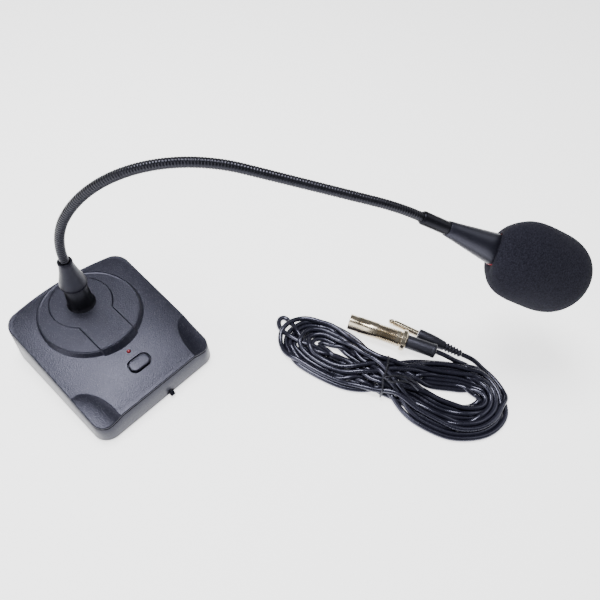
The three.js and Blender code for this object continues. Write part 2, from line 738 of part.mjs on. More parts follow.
// Boxes in the hank frame.
function hankBox(u0, u1, w0, w1, z0, z1) {
  return box(u0, u1, w0, w1, z0, z1)
    .rotateZ(Math.atan2(HANK_DIR.y, HANK_DIR.x))
    .translate(TIE_AT.x, TIE_AT.y, 0);
}

// Cords running from the two connectors into the hank.
function tail(points, radius) {
  const curve = new THREE.CatmullRomCurve3(points.map(([u, w, z]) => hankPoint(u, w, z)));
  return sweep(curve, radius, 8, 8);
}

const XLR_TAIL = [[47.4, 37.4, 10.5], [54, 36, 10], [61, 31, 8.4], [66, 23, 7.5]];
const JACK_TAIL = [[73.4, 41.4, 5.9], [80, 39, 5.9], [87, 33.4, 6.4], [90, 25, 7]];
piece(root, "cord_tail_xlr", tail(XLR_TAIL, CORD_R), SOFT_BLACK);
piece(root, "cord_tail_jack", tail(JACK_TAIL, CORD_R), SOFT_BLACK);

const TIE_T = 1.2;
const tieLoop = cut(
  hankBox(-1, 1, -17.6, 21.4, 0, HANK_H + TIE_T),
  hankBox(-2, 2, -17.6 + TIE_T, 21.4 - TIE_T, TIE_T, HANK_H),
);
const tieTrough = cut(
  hankBox(-1 - GAP, 1 + GAP, -40, 40, -1, HANK_H + 9),
  hankBox(-3, 3, -17.6 + TIE_T + GAP, 21.4 - TIE_T - GAP, TIE_T + GAP, HANK_H - GAP),
);
const tunnels = [tail(XLR_TAIL, CORD_R + GAP), tail(JACK_TAIL, CORD_R + GAP)];
const endRoom = [XLR_TAIL[3], JACK_TAIL[3]].map(([u, w, z]) => {
  const at = hankPoint(u, w, z);
  return new THREE.SphereGeometry(CORD_R + 1, 8, 6).translate(at.x, at.y, at.z);
});
piece(root, "cord_hank", cut(hankBlock, tieTrough, ...tunnels, ...endRoom), SOFT_BLACK);
const tie = combine(tieLoop, [
  hankBox(-2.4, 2.4, -9, -3, HANK_H + 0.3, HANK_H + 3),
  hankBox(0, 30, -7.2, -6, HANK_H + 0.6, HANK_H + 1.8),
  hankBox(0, 34, -5, -3.8, HANK_H + 0.6, HANK_H + 1.8),
]);
piece(root, "cable_tie", tie, SOFT_BLACK);

// A connector lying on the desk with its nose at one hank point, pointing away from another.
function lyingGroup(nose, heel, z) {
  const group = new THREE.Group();
  const a = hankPoint(...nose, z);
  const b = hankPoint(...heel, z);
  const axis = b.clone().sub(a).normalize();
  const side = new THREE.Vector3(-axis.y, axis.x, 0);
  const basis = new THREE.Matrix4().makeBasis(side, new THREE.Vector3(0, 0, 1), axis);
  if (basis.determinant() < 0) basis.makeBasis(side.negate(), new THREE.Vector3(0, 0, 1), axis);
  group.quaternion.setFromRotationMatrix(basis);
  group.position.copy(a);
  root.add(group);
  return group;
}

const plug = lyingGroup([-38, 54], [47, 37.5], 10.5);
const plugBody = turned(
  [[6.9, 0], [7.7, 0], [8, 0.4], [8, 52.4], [10.4, 53], [10.4, 57], [9.6, 57.8], [5.6, 57.8], [5.6, 50],
    [6.9, 46], [6.9, 0]],
  28,
);
const latchSlot = box(-2.9, 2.9, 6, 14, 7.6, 20.4);
piece(plug, "xlr_plug_shell", cut(plugBody, latchSlot), NICKEL);
const plugInsert = cut(
  rod(6.6, 0.8, 16, 24),
  ...[[-3.5, 2], [3.5, 2], [0, -4]].map(([x, y]) => rod(1.35, -1, 12, 12).translate(x, y, 0)),
);
piece(plug, "xlr_plug_insert", plugInsert, SOFT_BLACK);
piece(plug, "xlr_plug_latch", box(-2.5, 2.5, 7.2, 8.7, 8, 20), NICKEL);
const boot = turned(
  [[2.6, 52], [5.3, 52], [5.3, 58.1], [6.7, 58.1], [6.7, 84], [6.1, 86.5], [2.6, 86.5], [2.6, 52]],
  24,
);
piece(plug, "xlr_plug_boot", boot, SOFT_BLACK);

const jack = lyingGroup([1, 65.5], [73, 41.5], 5.9);
const jackPin = turned(
  [[0, 0], [1.2, 0.3], [2.6, 2.2], [2.9, 3.4], [2.1, 4.8], [2.3, 5.4], [3.175, 5.9], [3.175, 31], [0, 31]],
  20,
);
piece(jack, "jack_plug_pin", jackPin, NICKEL);
const jackHandle = turned(
  [[0, 31.3], [5.2, 31.3], [5.8, 32.2], [5.8, 48], [4.6, 60], [3.4, 62], [3.1, 76], [0, 76]],
  24,
);
piece(jack, "jack_plug_handle", jackHandle, SOFT_BLACK);

// ---------------------------------------------------------------- origin under the middle of the microphone
const LEAD = [
  "cord_hank", "cable_tie", "cord_tail_xlr", "cord_tail_jack", "xlr_plug_shell", "xlr_plug_insert",
  "xlr_plug_latch", "xlr_plug_boot", "jack_plug_pin", "jack_plug_handle",
];
root.updateMatrixWorld(true);
const extent = new THREE.Box3();
root.traverse((o) => {
  if (o.isMesh && !LEAD.includes(o.name)) extent.expandByObject(o, true);
});
const middle = extent.getCenter(new THREE.Vector3());
root.position.set(-middle.x, -middle.y, -extent.min.z);

export default root;
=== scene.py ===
import math
import random

import bmesh
import bpy
import numpy as np
from mathutils import Matrix, Vector, noise


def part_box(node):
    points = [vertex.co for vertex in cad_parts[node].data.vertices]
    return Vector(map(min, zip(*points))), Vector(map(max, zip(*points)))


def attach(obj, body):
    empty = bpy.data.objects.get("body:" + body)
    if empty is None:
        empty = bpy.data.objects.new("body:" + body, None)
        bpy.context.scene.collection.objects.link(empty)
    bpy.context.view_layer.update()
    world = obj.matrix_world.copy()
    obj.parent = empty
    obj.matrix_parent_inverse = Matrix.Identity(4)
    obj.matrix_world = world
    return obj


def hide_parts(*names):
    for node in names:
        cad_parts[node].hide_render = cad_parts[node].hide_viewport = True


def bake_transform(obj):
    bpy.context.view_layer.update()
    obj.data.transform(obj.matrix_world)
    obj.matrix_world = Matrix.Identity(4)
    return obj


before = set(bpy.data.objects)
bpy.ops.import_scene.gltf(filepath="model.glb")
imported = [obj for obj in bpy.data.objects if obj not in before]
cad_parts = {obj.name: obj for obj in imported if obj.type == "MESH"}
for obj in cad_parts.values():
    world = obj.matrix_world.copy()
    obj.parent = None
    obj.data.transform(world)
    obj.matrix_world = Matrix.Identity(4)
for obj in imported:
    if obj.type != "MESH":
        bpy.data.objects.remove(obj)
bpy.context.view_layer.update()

# ------------------------------------------------------------------------------------------------
# Camera: high over the front left corner of the base, rolled a little, on a 30 mm lens.
# The base stands with its front edge towards -Y; its own middle is the zero for the sizes below.
housing_low, housing_high = (Vector(corner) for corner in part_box("base_housing"))
BASE_FRONT = 65.0
BASE_MIDDLE = Vector(
    ((housing_low.x + housing_high.x) / 2, housing_low.y + BASE_FRONT / 1000, 0)
)


def at_base(x, y, z):
    """A place in millimetres from the middle of the base, as a point of the scene in metres."""
    return BASE_MIDDLE + Vector((x, y, z)) / 1000


look = Vector((0.50503, 0.34461, -0.79132)).normalized()
upward = Vector((0.55885, 0.56813, 0.60408))
rightward = look.cross(upward).normalized()
upward = rightward.cross(look)
camera_data = bpy.data.cameras.new("camera")
camera_data.lens = 30.44
camera_data.sensor_width = 36
camera = bpy.data.objects.new("camera", camera_data)
bpy.context.scene.collection.objects.link(camera)
turn = Matrix((rightward, upward, -look)).transposed().to_4x4()
camera.matrix_world = Matrix.Translation(at_base(-96.82, -254.66, 410.26)) @ turn
bpy.context.scene.camera = camera

# ------------------------------------------------------------------------------------------------
# Studio: a pale sweep of floor that glows a little, under a square overhead softbox, with weaker ones
# at the sides and an even pale surround.
SOFTBOXES = [
    # name, place, aims at, width, height, power
    ("key_softbox", (70, 130, 1050), (-10, -20, 20), 0.42, 0.42, 15),
    ("left_softbox", (-1000, 0, 560), (0, 0, 40), 0.6, 0.9, 6),
    ("right_softbox", (900, -700, 900), (100, -100, 0), 0.8, 0.8, 3),
    ("back_softbox", (300, 1200, 800), (60, -60, 50), 1.4, 0.8, 1.2),
]

floor_mesh = bpy.data.meshes.new("floor")
floor_mesh.from_pydata(
    [(-9, -9, 0), (9, -9, 0), (9, 9, 0), (-9, 9, 0)], [], [(0, 1, 2, 3)]
)
floor = bpy.data.objects.new("floor", floor_mesh)
bpy.context.scene.collection.objects.link(floor)
floor_paint = bpy.data.materials.new("floor_paint")
floor_paint.use_nodes = True
floor_shader = floor_paint.node_tree.nodes["Principled BSDF"]
floor_shader.inputs["Base Color"].default_value = (0.92, 0.92, 0.92, 1)
floor_shader.inputs["Roughness"].default_value = 0.9
floor_shader.inputs["Emission Color"].default_value = (1, 1, 1, 1)
floor_shader.inputs["Emission Strength"].default_value = 2.0
floor_mesh.materials.append(floor_paint)

for name, place, target, width, height, power in SOFTBOXES:
    lamp = bpy.data.lights.new(name, "AREA")
    lamp.shape = "RECTANGLE"
    lamp.size = width
    lamp.size_y = height
    lamp.energy = power
    softbox = bpy.data.objects.new(name, lamp)
    bpy.context.scene.collection.objects.link(softbox)
    aim = at_base(*target) - at_base(*place)
    softbox.matrix_world = (
        Matrix.Translation(at_base(*place)) @ aim.to_track_quat("-Z", "Y").to_matrix().to_4x4()
    )

surround = bpy.data.worlds.new("surround")
surround.use_nodes = True
surround.node_tree.nodes["Background"].inputs["Color"].default_value = (0.92, 0.95, 1, 1)
surround.node_tree.nodes["Background"].inputs["Strength"].default_value = 0.24
bpy.context.scene.world = surround

# ------------------------------------------------------------------------------------------------
# Lead: four and a half metres of soft black PVC microphone cord, wound by hand into a hank and held
# at its waist by a twist tie. One run ends in the XLR plug's boot, the other in the jack's handle.
CORD_DIAMETER = 0.0048
TIE = Vector((147.9, -192.8))
HANK_ALONG = Vector((0.535, -0.845)).normalized()
HANK_ACROSS = Vector((-HANK_ALONG.y, HANK_ALONG.x))

# Stations round the hank: (inner run, outer run) as millimetres along and across it.
STATIONS = [
    ((46, 8), (40, 25)),
    ((68, 12), (66, 31)),
    ((88, 9), (96, 28)),
    ((96, 0), (113, 3)),
    ((90, -12), (105, -24)),
    ((72, -17), (86, -38)),
    ((56, -15), (64, -44)),
    ((42, -9), (44, -40)),
    ((24, 0), (22, -26)),
    ((0, 4), (0, -13)),
    ((-22, 6), (-24, -14)),
    ((-40, 12), (-46, -12)),
    ((-52, 14), (-71, -2)),
    ((-61, 18), (-91, 8)),
    ((-65, 24), (-103, 28)),
    ((-61, 30), (-97, 47)),
    ((-50, 31), (-74, 53)),
    ((-40, 29), (-54, 48)),
    ((-28, 24), (-32, 34)),
    ((-8, 12), (-6, 19)),
    ((16, 8), (14, 19)),
]
HANK_TURNS = 10
CROSSED_TURNS = (2, 3, 7, 8)
FIRST_LEVEL, TURN_RISE = 3, 3.2
SETTLING_ROUNDS = 180

# The two plugs on the hank, and the rods that the turns stay clear of: from, to and radius.
PLUG_NOSE, PLUG_HEEL = (-38, 54, 10.5), (47, 37.5, 10.5)
JACK_TIP, JACK_HEEL = (1.5, 67.5, 5.9), (73.2, 43.2, 5.9)
KEPT_CLEAR = [
    (PLUG_NOSE, (14, 44, 10.5), 10.5),
    ((13, 44.1, 10.5), (19, 42.9, 10.5), 12.9),
    ((19, 42.9, 10.5), (45, 38, 10.5), 9.4),
    (JACK_TIP, (60, 47.6, 5.9), 8.4),
]


def on_hank(along, across, height):
    """A place in the hank's own millimetres as a point of the scene in metres."""
    flat = TIE + HANK_ALONG * along + HANK_ACROSS * across
    return at_base(flat.x, flat.y, height)


def turn_order(turn):
    """Stations one turn passes: clockwise up to the bight halfway, then back the other way."""
    ahead = list(range(len(STATIONS)))
    if turn in CROSSED_TURNS:
        ahead = ahead[:9] + ahead[18:10:-1]
    if turn == 0:
        return ahead[3:]
    if turn < HANK_TURNS // 2:
        return ahead
    if turn == HANK_TURNS // 2:
        return ahead[13::-1]
    if turn == HANK_TURNS - 1:
        return ahead[:2:-1]
    return ahead[::-1]


def between(station, share, level):
    """A place on the way from a station's inner run to its outer one."""
    inner, outer = STATIONS[station]
    return (
        inner[0] + (outer[0] - inner[0]) * share,
        inner[1] + (outer[1] - inner[1]) * share,
        level,
    )


def wound_route():
    """Hand-wound turns before they settle, as (along, across, height) in millimetres."""
    chance = random.Random(4)
    right_shares = list(np.linspace(0.96, 0.04, HANK_TURNS))
    left_shares = list(np.linspace(0.98, 0.02, HANK_TURNS))
    chance.shuffle(right_shares)
    chance.shuffle(left_shares)
    route = [(47.6, 37.4, 10.5), (54, 36.0, 10.4), (63, 33.5, 9.5), (76, 31, 8.5), (92, 27, 8)]
    for turn in range(HANK_TURNS):
        level = FIRST_LEVEL + TURN_RISE * turn
        if turn == HANK_TURNS // 2:
            route += [between(station, left_shares[turn], level) for station in range(13)]
            route += [(-84, 26, level), (-90, 42, level + 1), (-96, 51, level + 2),
                      (-104, 53, level + 2), (-109, 46, level + 2), (-105, 37, level + 2),
                      (-96, 27, level + 1)]
        for station in turn_order(turn):
            share = left_shares[turn] if 10 <= station <= 18 else right_shares[turn]
            share = min(1, max(0, share + chance.uniform(-0.08, 0.08)))
            route.append(between(station, share, level))
    top = FIRST_LEVEL + TURN_RISE * HANK_TURNS
    route += [(110, 8, top * 0.6), (107, 20, 14), (98, 32, 9), (88, 38, 6.6), (80, 40.9, 6),
              (73.8, 43, 5.9)]
    return route


def smooth_line(points, spacing):
    """Evenly spaced points along a Catmull-Rom line through points."""
    points = np.array(points, float)
    padded = np.vstack([2 * points[0] - points[1], points, 2 * points[-1] - points[-2]])
    steps = np.linspace(0, 1, 24, endpoint=False)[:, None]
    runs = []
    for i in range(1, len(padded) - 2):
        p0, p1, p2, p3 = padded[i - 1 : i + 3]
        runs.append(
            0.5
            * (
                2 * p1
                + (p2 - p0) * steps
                + (2 * p0 - 5 * p1 + 4 * p2 - p3) * steps**2
                + (3 * p1 - p0 - 3 * p2 + p3) * steps**3
            )
        )
    line = np.vstack(runs + [points[-1:]])
    lengths = np.concatenate([[0], np.cumsum(np.linalg.norm(np.diff(line, axis=0), axis=1))])
    count = max(2, int(round(lengths[-1] / spacing)) + 1)
    where = np.linspace(0, lengths[-1], count)
    return np.column_stack([np.interp(where, lengths, line[:, k]) for k in range(3)])


def keep_clear(points, start, end, radius):
    """Moves points out of a rod that lies between start and end."""
    start, end = np.array(start, float), np.array(end, float)
    run = end - start
    share = np.clip((points - start) @ run / (run @ run), 0, 1)
    away = points - (start + share[:, None] * run)
    gap = np.linalg.norm(away, axis=1)
    inside = gap < radius
    if inside.any():
        points[inside] += away[inside] / gap[inside, None] * (radius - gap[inside, None])


def settled(points, thickness, rounds):
    """Lets the wound turns sink under their own weight until they lie on the desk and each other."""
    sink, recall, stiffness = 0.22, 0.015, 0.18
    waist_half, waist_low, waist_high = 9, -14.0, 18.0
    rest = points.copy()
    held = np.zeros(len(points), bool)
    held[:4] = True
    held[-4:] = True
    link = np.linalg.norm(np.diff(points, axis=0), axis=1).mean()
    for step in range(rounds):
        before = points[held].copy()
        points[:, 2] -= sink
        points[:, :2] += (rest[:, :2] - points[:, :2]) * recall
        points[1:-1] += ((points[:-2] + points[2:]) / 2 - points[1:-1]) * stiffness
        if step % 6 == 0:
            far = points[:, None, :] - points[None, :, :]
            near = np.einsum("ijk,ijk->ij", far, far) < (thickness * 1.8) ** 2
            first, second = np.nonzero(np.triu(near, 5))
        for _ in range(3):
            apart = points[second] - points[first]
            gap = np.linalg.norm(apart, axis=1) + 1e-9
            push = np.clip(thickness * 1.02 - gap, 0, None) * 0.42
            shove = apart / gap[:, None] * push[:, None]
            np.add.at(points, second, shove)
            np.add.at(points, first, -shove)
            span = points[1:] - points[:-1]
            size = np.linalg.norm(span, axis=1) + 1e-9
            fix = span / size[:, None] * ((size - link) * 0.5)[:, None]
            points[:-1] += fix * 0.9
            points[1:] -= fix * 0.9
            waist = np.abs(points[:, 0]) < waist_half
            points[waist, 1] = np.clip(points[waist, 1], waist_low, waist_high)
            points[:, 2] = np.clip(points[:, 2], thickness / 2, None)
            for start, end, radius in KEPT_CLEAR:
                keep_clear(points, start, end, radius)
            points[held] = before
    return points


route = smooth_line(wound_route(), CORD_DIAMETER * 1000)
route = settled(route, CORD_DIAMETER * 1000, SETTLING_ROUNDS)
for _ in range(2):
    route[1:-1] = (route[:-2] + 2 * route[1:-1] + route[2:]) / 4
route[:, 2] = np.clip(route[:, 2], CORD_DIAMETER * 500, None)
route = smooth_line(route, CORD_DIAMETER * 500)
cord_points = [on_hank(*p) for p in route]

cord_curve = bpy.data.curves.new("lead_cord", "CURVE")
cord_curve.dimensions = "3D"
cord_curve.bevel_depth = CORD_DIAMETER / 2
cord_curve.bevel_resolution = 3
cord_curve.use_fill_caps = True
spline = cord_curve.splines.new("POLY")
spline.points.add(len(cord_points) - 1)
for point, place in zip(spline.points, cord_points):
    point.co = (*place, 1)
spline.use_smooth = True
cord = bpy.data.objects.new("lead_cord", cord_curve)
bpy.context.scene.collection.objects.link(cord)


def socketed_group(name, inputs, outputs):
    """An empty shader node group with named inputs and outputs."""
    group = bpy.data.node_groups.new(name, "ShaderNodeTree")
    for label, kind, value in inputs:
        socket = group.interface.new_socket(label, in_out="INPUT", socket_type=kind)
        if value is not None:
            socket.default_value = value
    for label, kind in outputs:
        group.interface.new_socket(label, in_out="OUTPUT", socket_type=kind)
    return group, group.nodes.new("NodeGroupInput"), group.nodes.new("NodeGroupOutput")


# Fine surface texture of moulded plastic and rubber: a pebbled height, and painted glint, which is
# sparse pale flecks mixed into the colour in place of light glinting off the grain.
grain_and_glint_group, grain_and_glint_in, grain_and_glint_out = socketed_group(
    "moulded_grain_and_painted_glint",
    [("Grains per metre", "NodeSocketFloat", 1500.0), ("Coarseness", "NodeSocketFloat", 0.5)],
    [("Height", "NodeSocketFloat"), ("Painted glint", "NodeSocketFloat")],
)
where = grain_and_glint_group.nodes.new("ShaderNodeTexCoord")
pebbles = grain_and_glint_group.nodes.new("ShaderNodeTexNoise")
pebbles.inputs["Detail"].default_value = 3.0
glint_cells = grain_and_glint_group.nodes.new("ShaderNodeTexVoronoi")
sharpen = grain_and_glint_group.nodes.new("ShaderNodeMapRange")
sharpen.inputs["From Min"].default_value = 0.22
sharpen.inputs["From Max"].default_value = 0.05
grain_and_glint_group.links.new(where.outputs["Object"], pebbles.inputs["Vector"])
grain_and_glint_group.links.new(where.outputs["Object"], glint_cells.inputs["Vector"])
grain_and_glint_group.links.new(grain_and_glint_in.outputs["Grains per metre"], pebbles.inputs["Scale"])
grain_and_glint_group.links.new(grain_and_glint_in.outputs["Grains per metre"], glint_cells.inputs["Scale"])
grain_and_glint_group.links.new(grain_and_glint_in.outputs["Coarseness"], pebbles.inputs["Roughness"])
grain_and_glint_group.links.new(glint_cells.outputs["Distance"], sharpen.inputs["Value"])
grain_and_glint_group.links.new(pebbles.outputs["Fac"], grain_and_glint_out.inputs["Height"])
grain_and_glint_group.links.new(sharpen.outputs["Result"], grain_and_glint_out.inputs["Painted glint"])

# Handling marks: slow mottling that shifts both colour and gloss a little.
wear_group, wear_in, wear_out = socketed_group(
    "handling_marks",
    [("Patches per metre", "NodeSocketFloat", 30.0), ("Amount", "NodeSocketFloat", 0.3)],
    [("Mask", "NodeSocketFloat")],
)
wear_where = wear_group.nodes.new("ShaderNodeTexCoord")
wear_noise = wear_group.nodes.new("ShaderNodeTexNoise")
wear_noise.inputs["Detail"].default_value = 5.0
wear_noise.inputs["Roughness"].default_value = 0.65
wear_scale = wear_group.nodes.new("ShaderNodeMath")
wear_scale.operation = "MULTIPLY"
wear_group.links.new(wear_where.outputs["Object"], wear_noise.inputs["Vector"])
wear_group.links.new(wear_in.outputs["Patches per metre"], wear_noise.inputs["Scale"])
wear_spread = wear_group.nodes.new("ShaderNodeMapRange")
wear_spread.inputs["From Min"].default_value = 0.32
wear_spread.inputs["From Max"].default_value = 0.68
wear_group.links.new(wear_noise.outputs["Fac"], wear_spread.inputs["Value"])
wear_group.links.new(wear_spread.outputs["Result"], wear_scale.inputs[0])
wear_group.links.new(wear_in.outputs["Amount"], wear_scale.inputs[1])
wear_group.links.new(wear_scale.outputs["Value"], wear_out.inputs["Mask"])


def finish_of(
    name,
    dark,
    light,
    gloss=(0.4, 0.5),
    metal=0.0,
    grains=1500.0,
    bump=0.05,
    painted_glint_amount=0.0,
    patches=30.0,
    coat=0.0,
    spec=0.5,
):
    """A procedural finish: two close colours, mottled roughness, a fine moulded bump and, where
    asked, painted glint as pale flecks in the colour.
    """
    material = bpy.data.materials.new(name)
    material.use_nodes = True
    tree = material.node_tree
    shader = tree.nodes["Principled BSDF"]
    shader.inputs["Metallic"].default_value = metal
    shader.inputs["Coat Weight"].default_value = coat
    shader.inputs["Specular IOR Level"].default_value = spec
    if metal == 0:
        shader.inputs["Specular Tint"].default_value = (0.76, 0.77, 1, 1)
    grain_and_glint = tree.nodes.new("ShaderNodeGroup")
    grain_and_glint.node_tree = grain_and_glint_group
    grain_and_glint.inputs["Grains per metre"].default_value = grains
    marks = tree.nodes.new("ShaderNodeGroup")
    marks.node_tree = wear_group
    marks.inputs["Patches per metre"].default_value = patches
    marks.inputs["Amount"].default_value = 1.0
    tint = tree.nodes.new("ShaderNodeMix")
    tint.data_type = "RGBA"
    tint.inputs["A"].default_value = (*dark, 1)
    tint.inputs["B"].default_value = (*light, 1)
    tree.links.new(marks.outputs["Mask"], tint.inputs["Factor"])
    colour = tint.outputs["Result"]
    # Painted glint: pale grey flecks in the base colour stand in for light glinting off the grain.
    if painted_glint_amount:
        painted_glint = tree.nodes.new("ShaderNodeMix")
        painted_glint.data_type = "RGBA"
        painted_glint.inputs["B"].default_value = (0.32, 0.33, 0.36, 1)
        amount = tree.nodes.new("ShaderNodeMath")
        amount.operation = "MULTIPLY"
        amount.inputs[1].default_value = painted_glint_amount
        tree.links.new(grain_and_glint.outputs["Painted glint"], amount.inputs[0])
        tree.links.new(amount.outputs["Value"], painted_glint.inputs["Factor"])
        tree.links.new(colour, painted_glint.inputs["A"])
        colour = painted_glint.outputs["Result"]
    tree.links.new(colour, shader.inputs["Base Color"])
    rough = tree.nodes.new("ShaderNodeMapRange")
    rough.inputs["To Min"].default_value = gloss[0]
    rough.inputs["To Max"].default_value = gloss[1]
    tree.links.new(marks.outputs["Mask"], rough.inputs["Value"])
    tree.links.new(rough.outputs["Result"], shader.inputs["Roughness"])
    relief = tree.nodes.new("ShaderNodeBump")
    relief.inputs["Strength"].default_value = 0.8
    relief.inputs["Distance"].default_value = bump / 1000
    tree.links.new(grain_and_glint.outputs["Height"], relief.inputs["Height"])
    tree.links.new(relief.outputs["Normal"], shader.inputs["Normal"])
    return material


CORD_PVC = finish_of(
    "cord_pvc", (0.004, 0.004, 0.008), (0.010, 0.010, 0.018), gloss=(0.22, 0.3), grains=900.0,
    bump=0.02, spec=0.8,
)
cord_curve.materials.append(CORD_PVC)
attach(cord, "base")
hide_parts("cord_hank", "cord_tail_xlr", "cord_tail_jack")


def piece_from(name, mesh_shape, material, body, stands_for=(), crease=38):
    """Turns a bmesh, with its place in it, into a finished piece on a body."""
    bmesh.ops.recalc_face_normals(mesh_shape, faces=mesh_shape.faces[:])
    for face in mesh_shape.faces:
        face.smooth = True
    for edge in mesh_shape.edges:
        if len(edge.link_faces) == 2:
            edge.smooth = edge.calc_face_angle(0) < math.radians(crease)
    mesh = bpy.data.meshes.new(name)
    mesh_shape.to_mesh(mesh)
    mesh_shape.free()
    mesh.materials.append(material)
    piece = bpy.data.objects.new(name, mesh)
    bpy.context.scene.collection.objects.link(piece)
    if body:
        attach(piece, body)
    if stands_for:
        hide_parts(*stands_for)
    return piece


def turned_shape(profile, start, axis, around=64, into=None):
    """A body of revolution from (radius, distance) pairs in millimetres along axis from start."""
    shape = into or bmesh.new()
    axis = Vector(axis).normalized()
    side = axis.orthogonal().normalized()
    other = axis.cross(side)
    rings = []
    for radius, distance in profile:
        centre = start + axis * (distance / 1000)
        if radius < 1e-6:
            rings.append([shape.verts.new(centre)])
            continue
        ring = []
        for k in range(around):
            angle = 2 * math.pi * k / around
            ring.append(
                shape.verts.new(
                    centre + (side * math.cos(angle) + other * math.sin(angle)) * (radius / 1000)
                )
            )
        rings.append(ring)
    for below, above in zip(rings, rings[1:]):
        for k in range(around):
            n = (k + 1) % around
            if len(below) == 1 and len(above) == 1:
                continue
            if len(below) == 1:
                shape.faces.new((below[0], above[k], above[n]))
            elif len(above) == 1:
                shape.faces.new((below[k], above[0], below[n]))
            else:
                shape.faces.new((below[k], above[k], above[n], below[n]))
    return shape


def rounded(profile, radius=0.3):
    """Softens the corners of a turned profile with two short chamfers each."""
    soft = [profile[0]]
    for a, b, c in zip(profile, profile[1:], profile[2:]):
        back = Vector(a) - Vector(b)
        ahead = Vector(c) - Vector(b)
        reach = min(radius, back.length * 0.4, ahead.length * 0.4)
        if reach < 1e-4:
            soft.append(b)
            continue
        p = Vector(b) + back.normalized() * reach
        q = Vector(b) + ahead.normalized() * reach
        middle = (p + q) / 4 + Vector(b) / 2
        soft += [tuple(p), tuple(middle), tuple(q)]
    soft.append(profile[-1])
    return soft


# ------------------------------------------------------------------------------------------------
# XLR plug on the lead: a turned zinc shell with a nickel finish and a threaded grip, a moulded
# insert inside its nose, a sprung latch button, and a rubber boot screwed on behind it.
plug_nose = on_hank(*PLUG_NOSE)
plug_heel = on_hank(*PLUG_HEEL)
plug_axis = (plug_heel - plug_nose).normalized()

NICKEL = finish_of(
    "nickel_plate", (0.40, 0.34, 0.25), (0.56, 0.49, 0.38), gloss=(0.14, 0.26), metal=1.0,
    grains=500.0, bump=0.01, patches=60.0,
)
GRIP_THREADS, THREAD_PITCH = 11, 1.7
shell_profile = [(6.9, 0), (7.4, 0), (7.6, 0.4), (7.6, 10), (8, 10.6), (8, 28)]
for thread in range(GRIP_THREADS):
    start = 28.5 + THREAD_PITCH * thread
    shell_profile += [(8, start), (7.2, start + 0.4), (7.2, start + 0.8), (8, start + 1.2)]
shell_profile += [(8, 50.5), (7.4, 51.2), (7.4, 52.2), (9.9, 52.4), (10.4, 52.9), (10.4, 56.2)]
shell_profile += [(9.9, 56.8), (8.2, 57.8), (5.6, 57.8), (5.6, 50), (6.9, 46), (6.9, 0)]
xlr_shell = piece_from(
    "xlr_shell", turned_shape(shell_profile, plug_nose, plug_axis, 72), NICKEL, "base",
    ["xlr_plug_shell"],
)
BLACK_RUBBER = finish_of(
    "black_rubber", (0.006, 0.006, 0.008), (0.014, 0.014, 0.018), gloss=(0.4, 0.5), grains=1800.0,
    bump=0.04,
)
boot_profile = rounded(
    [(2.6, 52), (5.3, 52), (5.3, 58.0), (6.7, 58.1), (6.7, 83.0), (7.0, 83.6), (7.0, 85.6),
     (6.4, 86.4), (2.6, 86.5), (2.6, 52)],
    0.35,
)
xlr_boot = piece_from(
    "xlr_boot", turned_shape(boot_profile, plug_nose, plug_axis, 64), BLACK_RUBBER, "base",
    ["xlr_plug_boot"],
)

# ------------------------------------------------------------------------------------------------
# Jack plug on the lead: a turned 6.35 mm brass pin, nickel plated, in a tapered moulded handle
# that ends in a ribbed strain relief.
jack_tip = on_hank(*JACK_TIP)
jack_heel = on_hank(*JACK_HEEL)
jack_axis = (jack_heel - jack_tip).normalized()
PIN_RADIUS = 3.175
RELIEF_RIBS, RIB_PITCH = 5, 3.1
pin_profile = [(0, 0), (0.7, 0.1), (1.4, 0.5), (2.2, 1.5), (2.75, 2.8), (2.9, 3.5), (2.6, 4.2),
               (2.1, 4.8), (2.1, 5.1), (2.5, 5.5), (PIN_RADIUS, 5.9), (PIN_RADIUS, 6.6)]
pin_profile += [(3.0, 6.7), (3.0, 7.6), (PIN_RADIUS, 7.7), (PIN_RADIUS, 31), (0, 31)]
jack_pin = piece_from(
    "jack_pin", turned_shape(pin_profile, jack_tip, jack_axis, 48), NICKEL, "base",
    ["jack_plug_pin"], crease=50,
)
handle_profile = [(0, 31.3), (4.9, 31.3), (5.6, 31.9), (5.8, 33), (5.8, 46), (5.5, 50), (4.6, 58.5)]
for rib in range(RELIEF_RIBS):
    start = 60 + RIB_PITCH * rib
    size = 4.5 - 0.22 * rib
    handle_profile += [(size - 1.1, start - 0.4), (size - 1.1, start + 0.3)]
    handle_profile += [(size, start + 0.8), (size, start + 2.1)]
handle_profile += [(2.9, 75.2), (2.7, 76), (0, 76)]
jack_handle = piece_from(
    "jack_handle", turned_shape(rounded(handle_profile, 0.25), jack_tip, jack_axis, 48),
    BLACK_RUBBER, "base", ["jack_plug_handle"], crease=50,
)

# ------------------------------------------------------------------------------------------------
# Twist tie: a thin plastic-covered wire taken once round the waist of the hank, twisted on top,
# with both ends left loose over the turns.
TIE_RADIUS = 0.0009
over_waist = route[np.abs(route[:, 0]) < 8]
tie_top = float(over_waist[:, 2].max()) + CORD_DIAMETER * 500 + 0.6


def thin_wire(name, points, radius, material):
    """A smooth wire along points of the hank."""
    curve = bpy.data.curves.new(name, "CURVE")
    curve.dimensions = "3D"
    curve.bevel_depth = radius
    curve.bevel_resolution = 3
    curve.use_fill_caps = True
    line = curve.splines.new("POLY")
    places = smooth_line(points, 0.8)
    line.points.add(len(places) - 1)
    for point, place in zip(line.points, places):
        point.co = (*on_hank(*place), 1)
    curve.materials.append(material)
    wire = bpy.data.objects.new(name, curve)
    bpy.context.scene.collection.objects.link(wire)
    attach(wire, "base")
    return wire


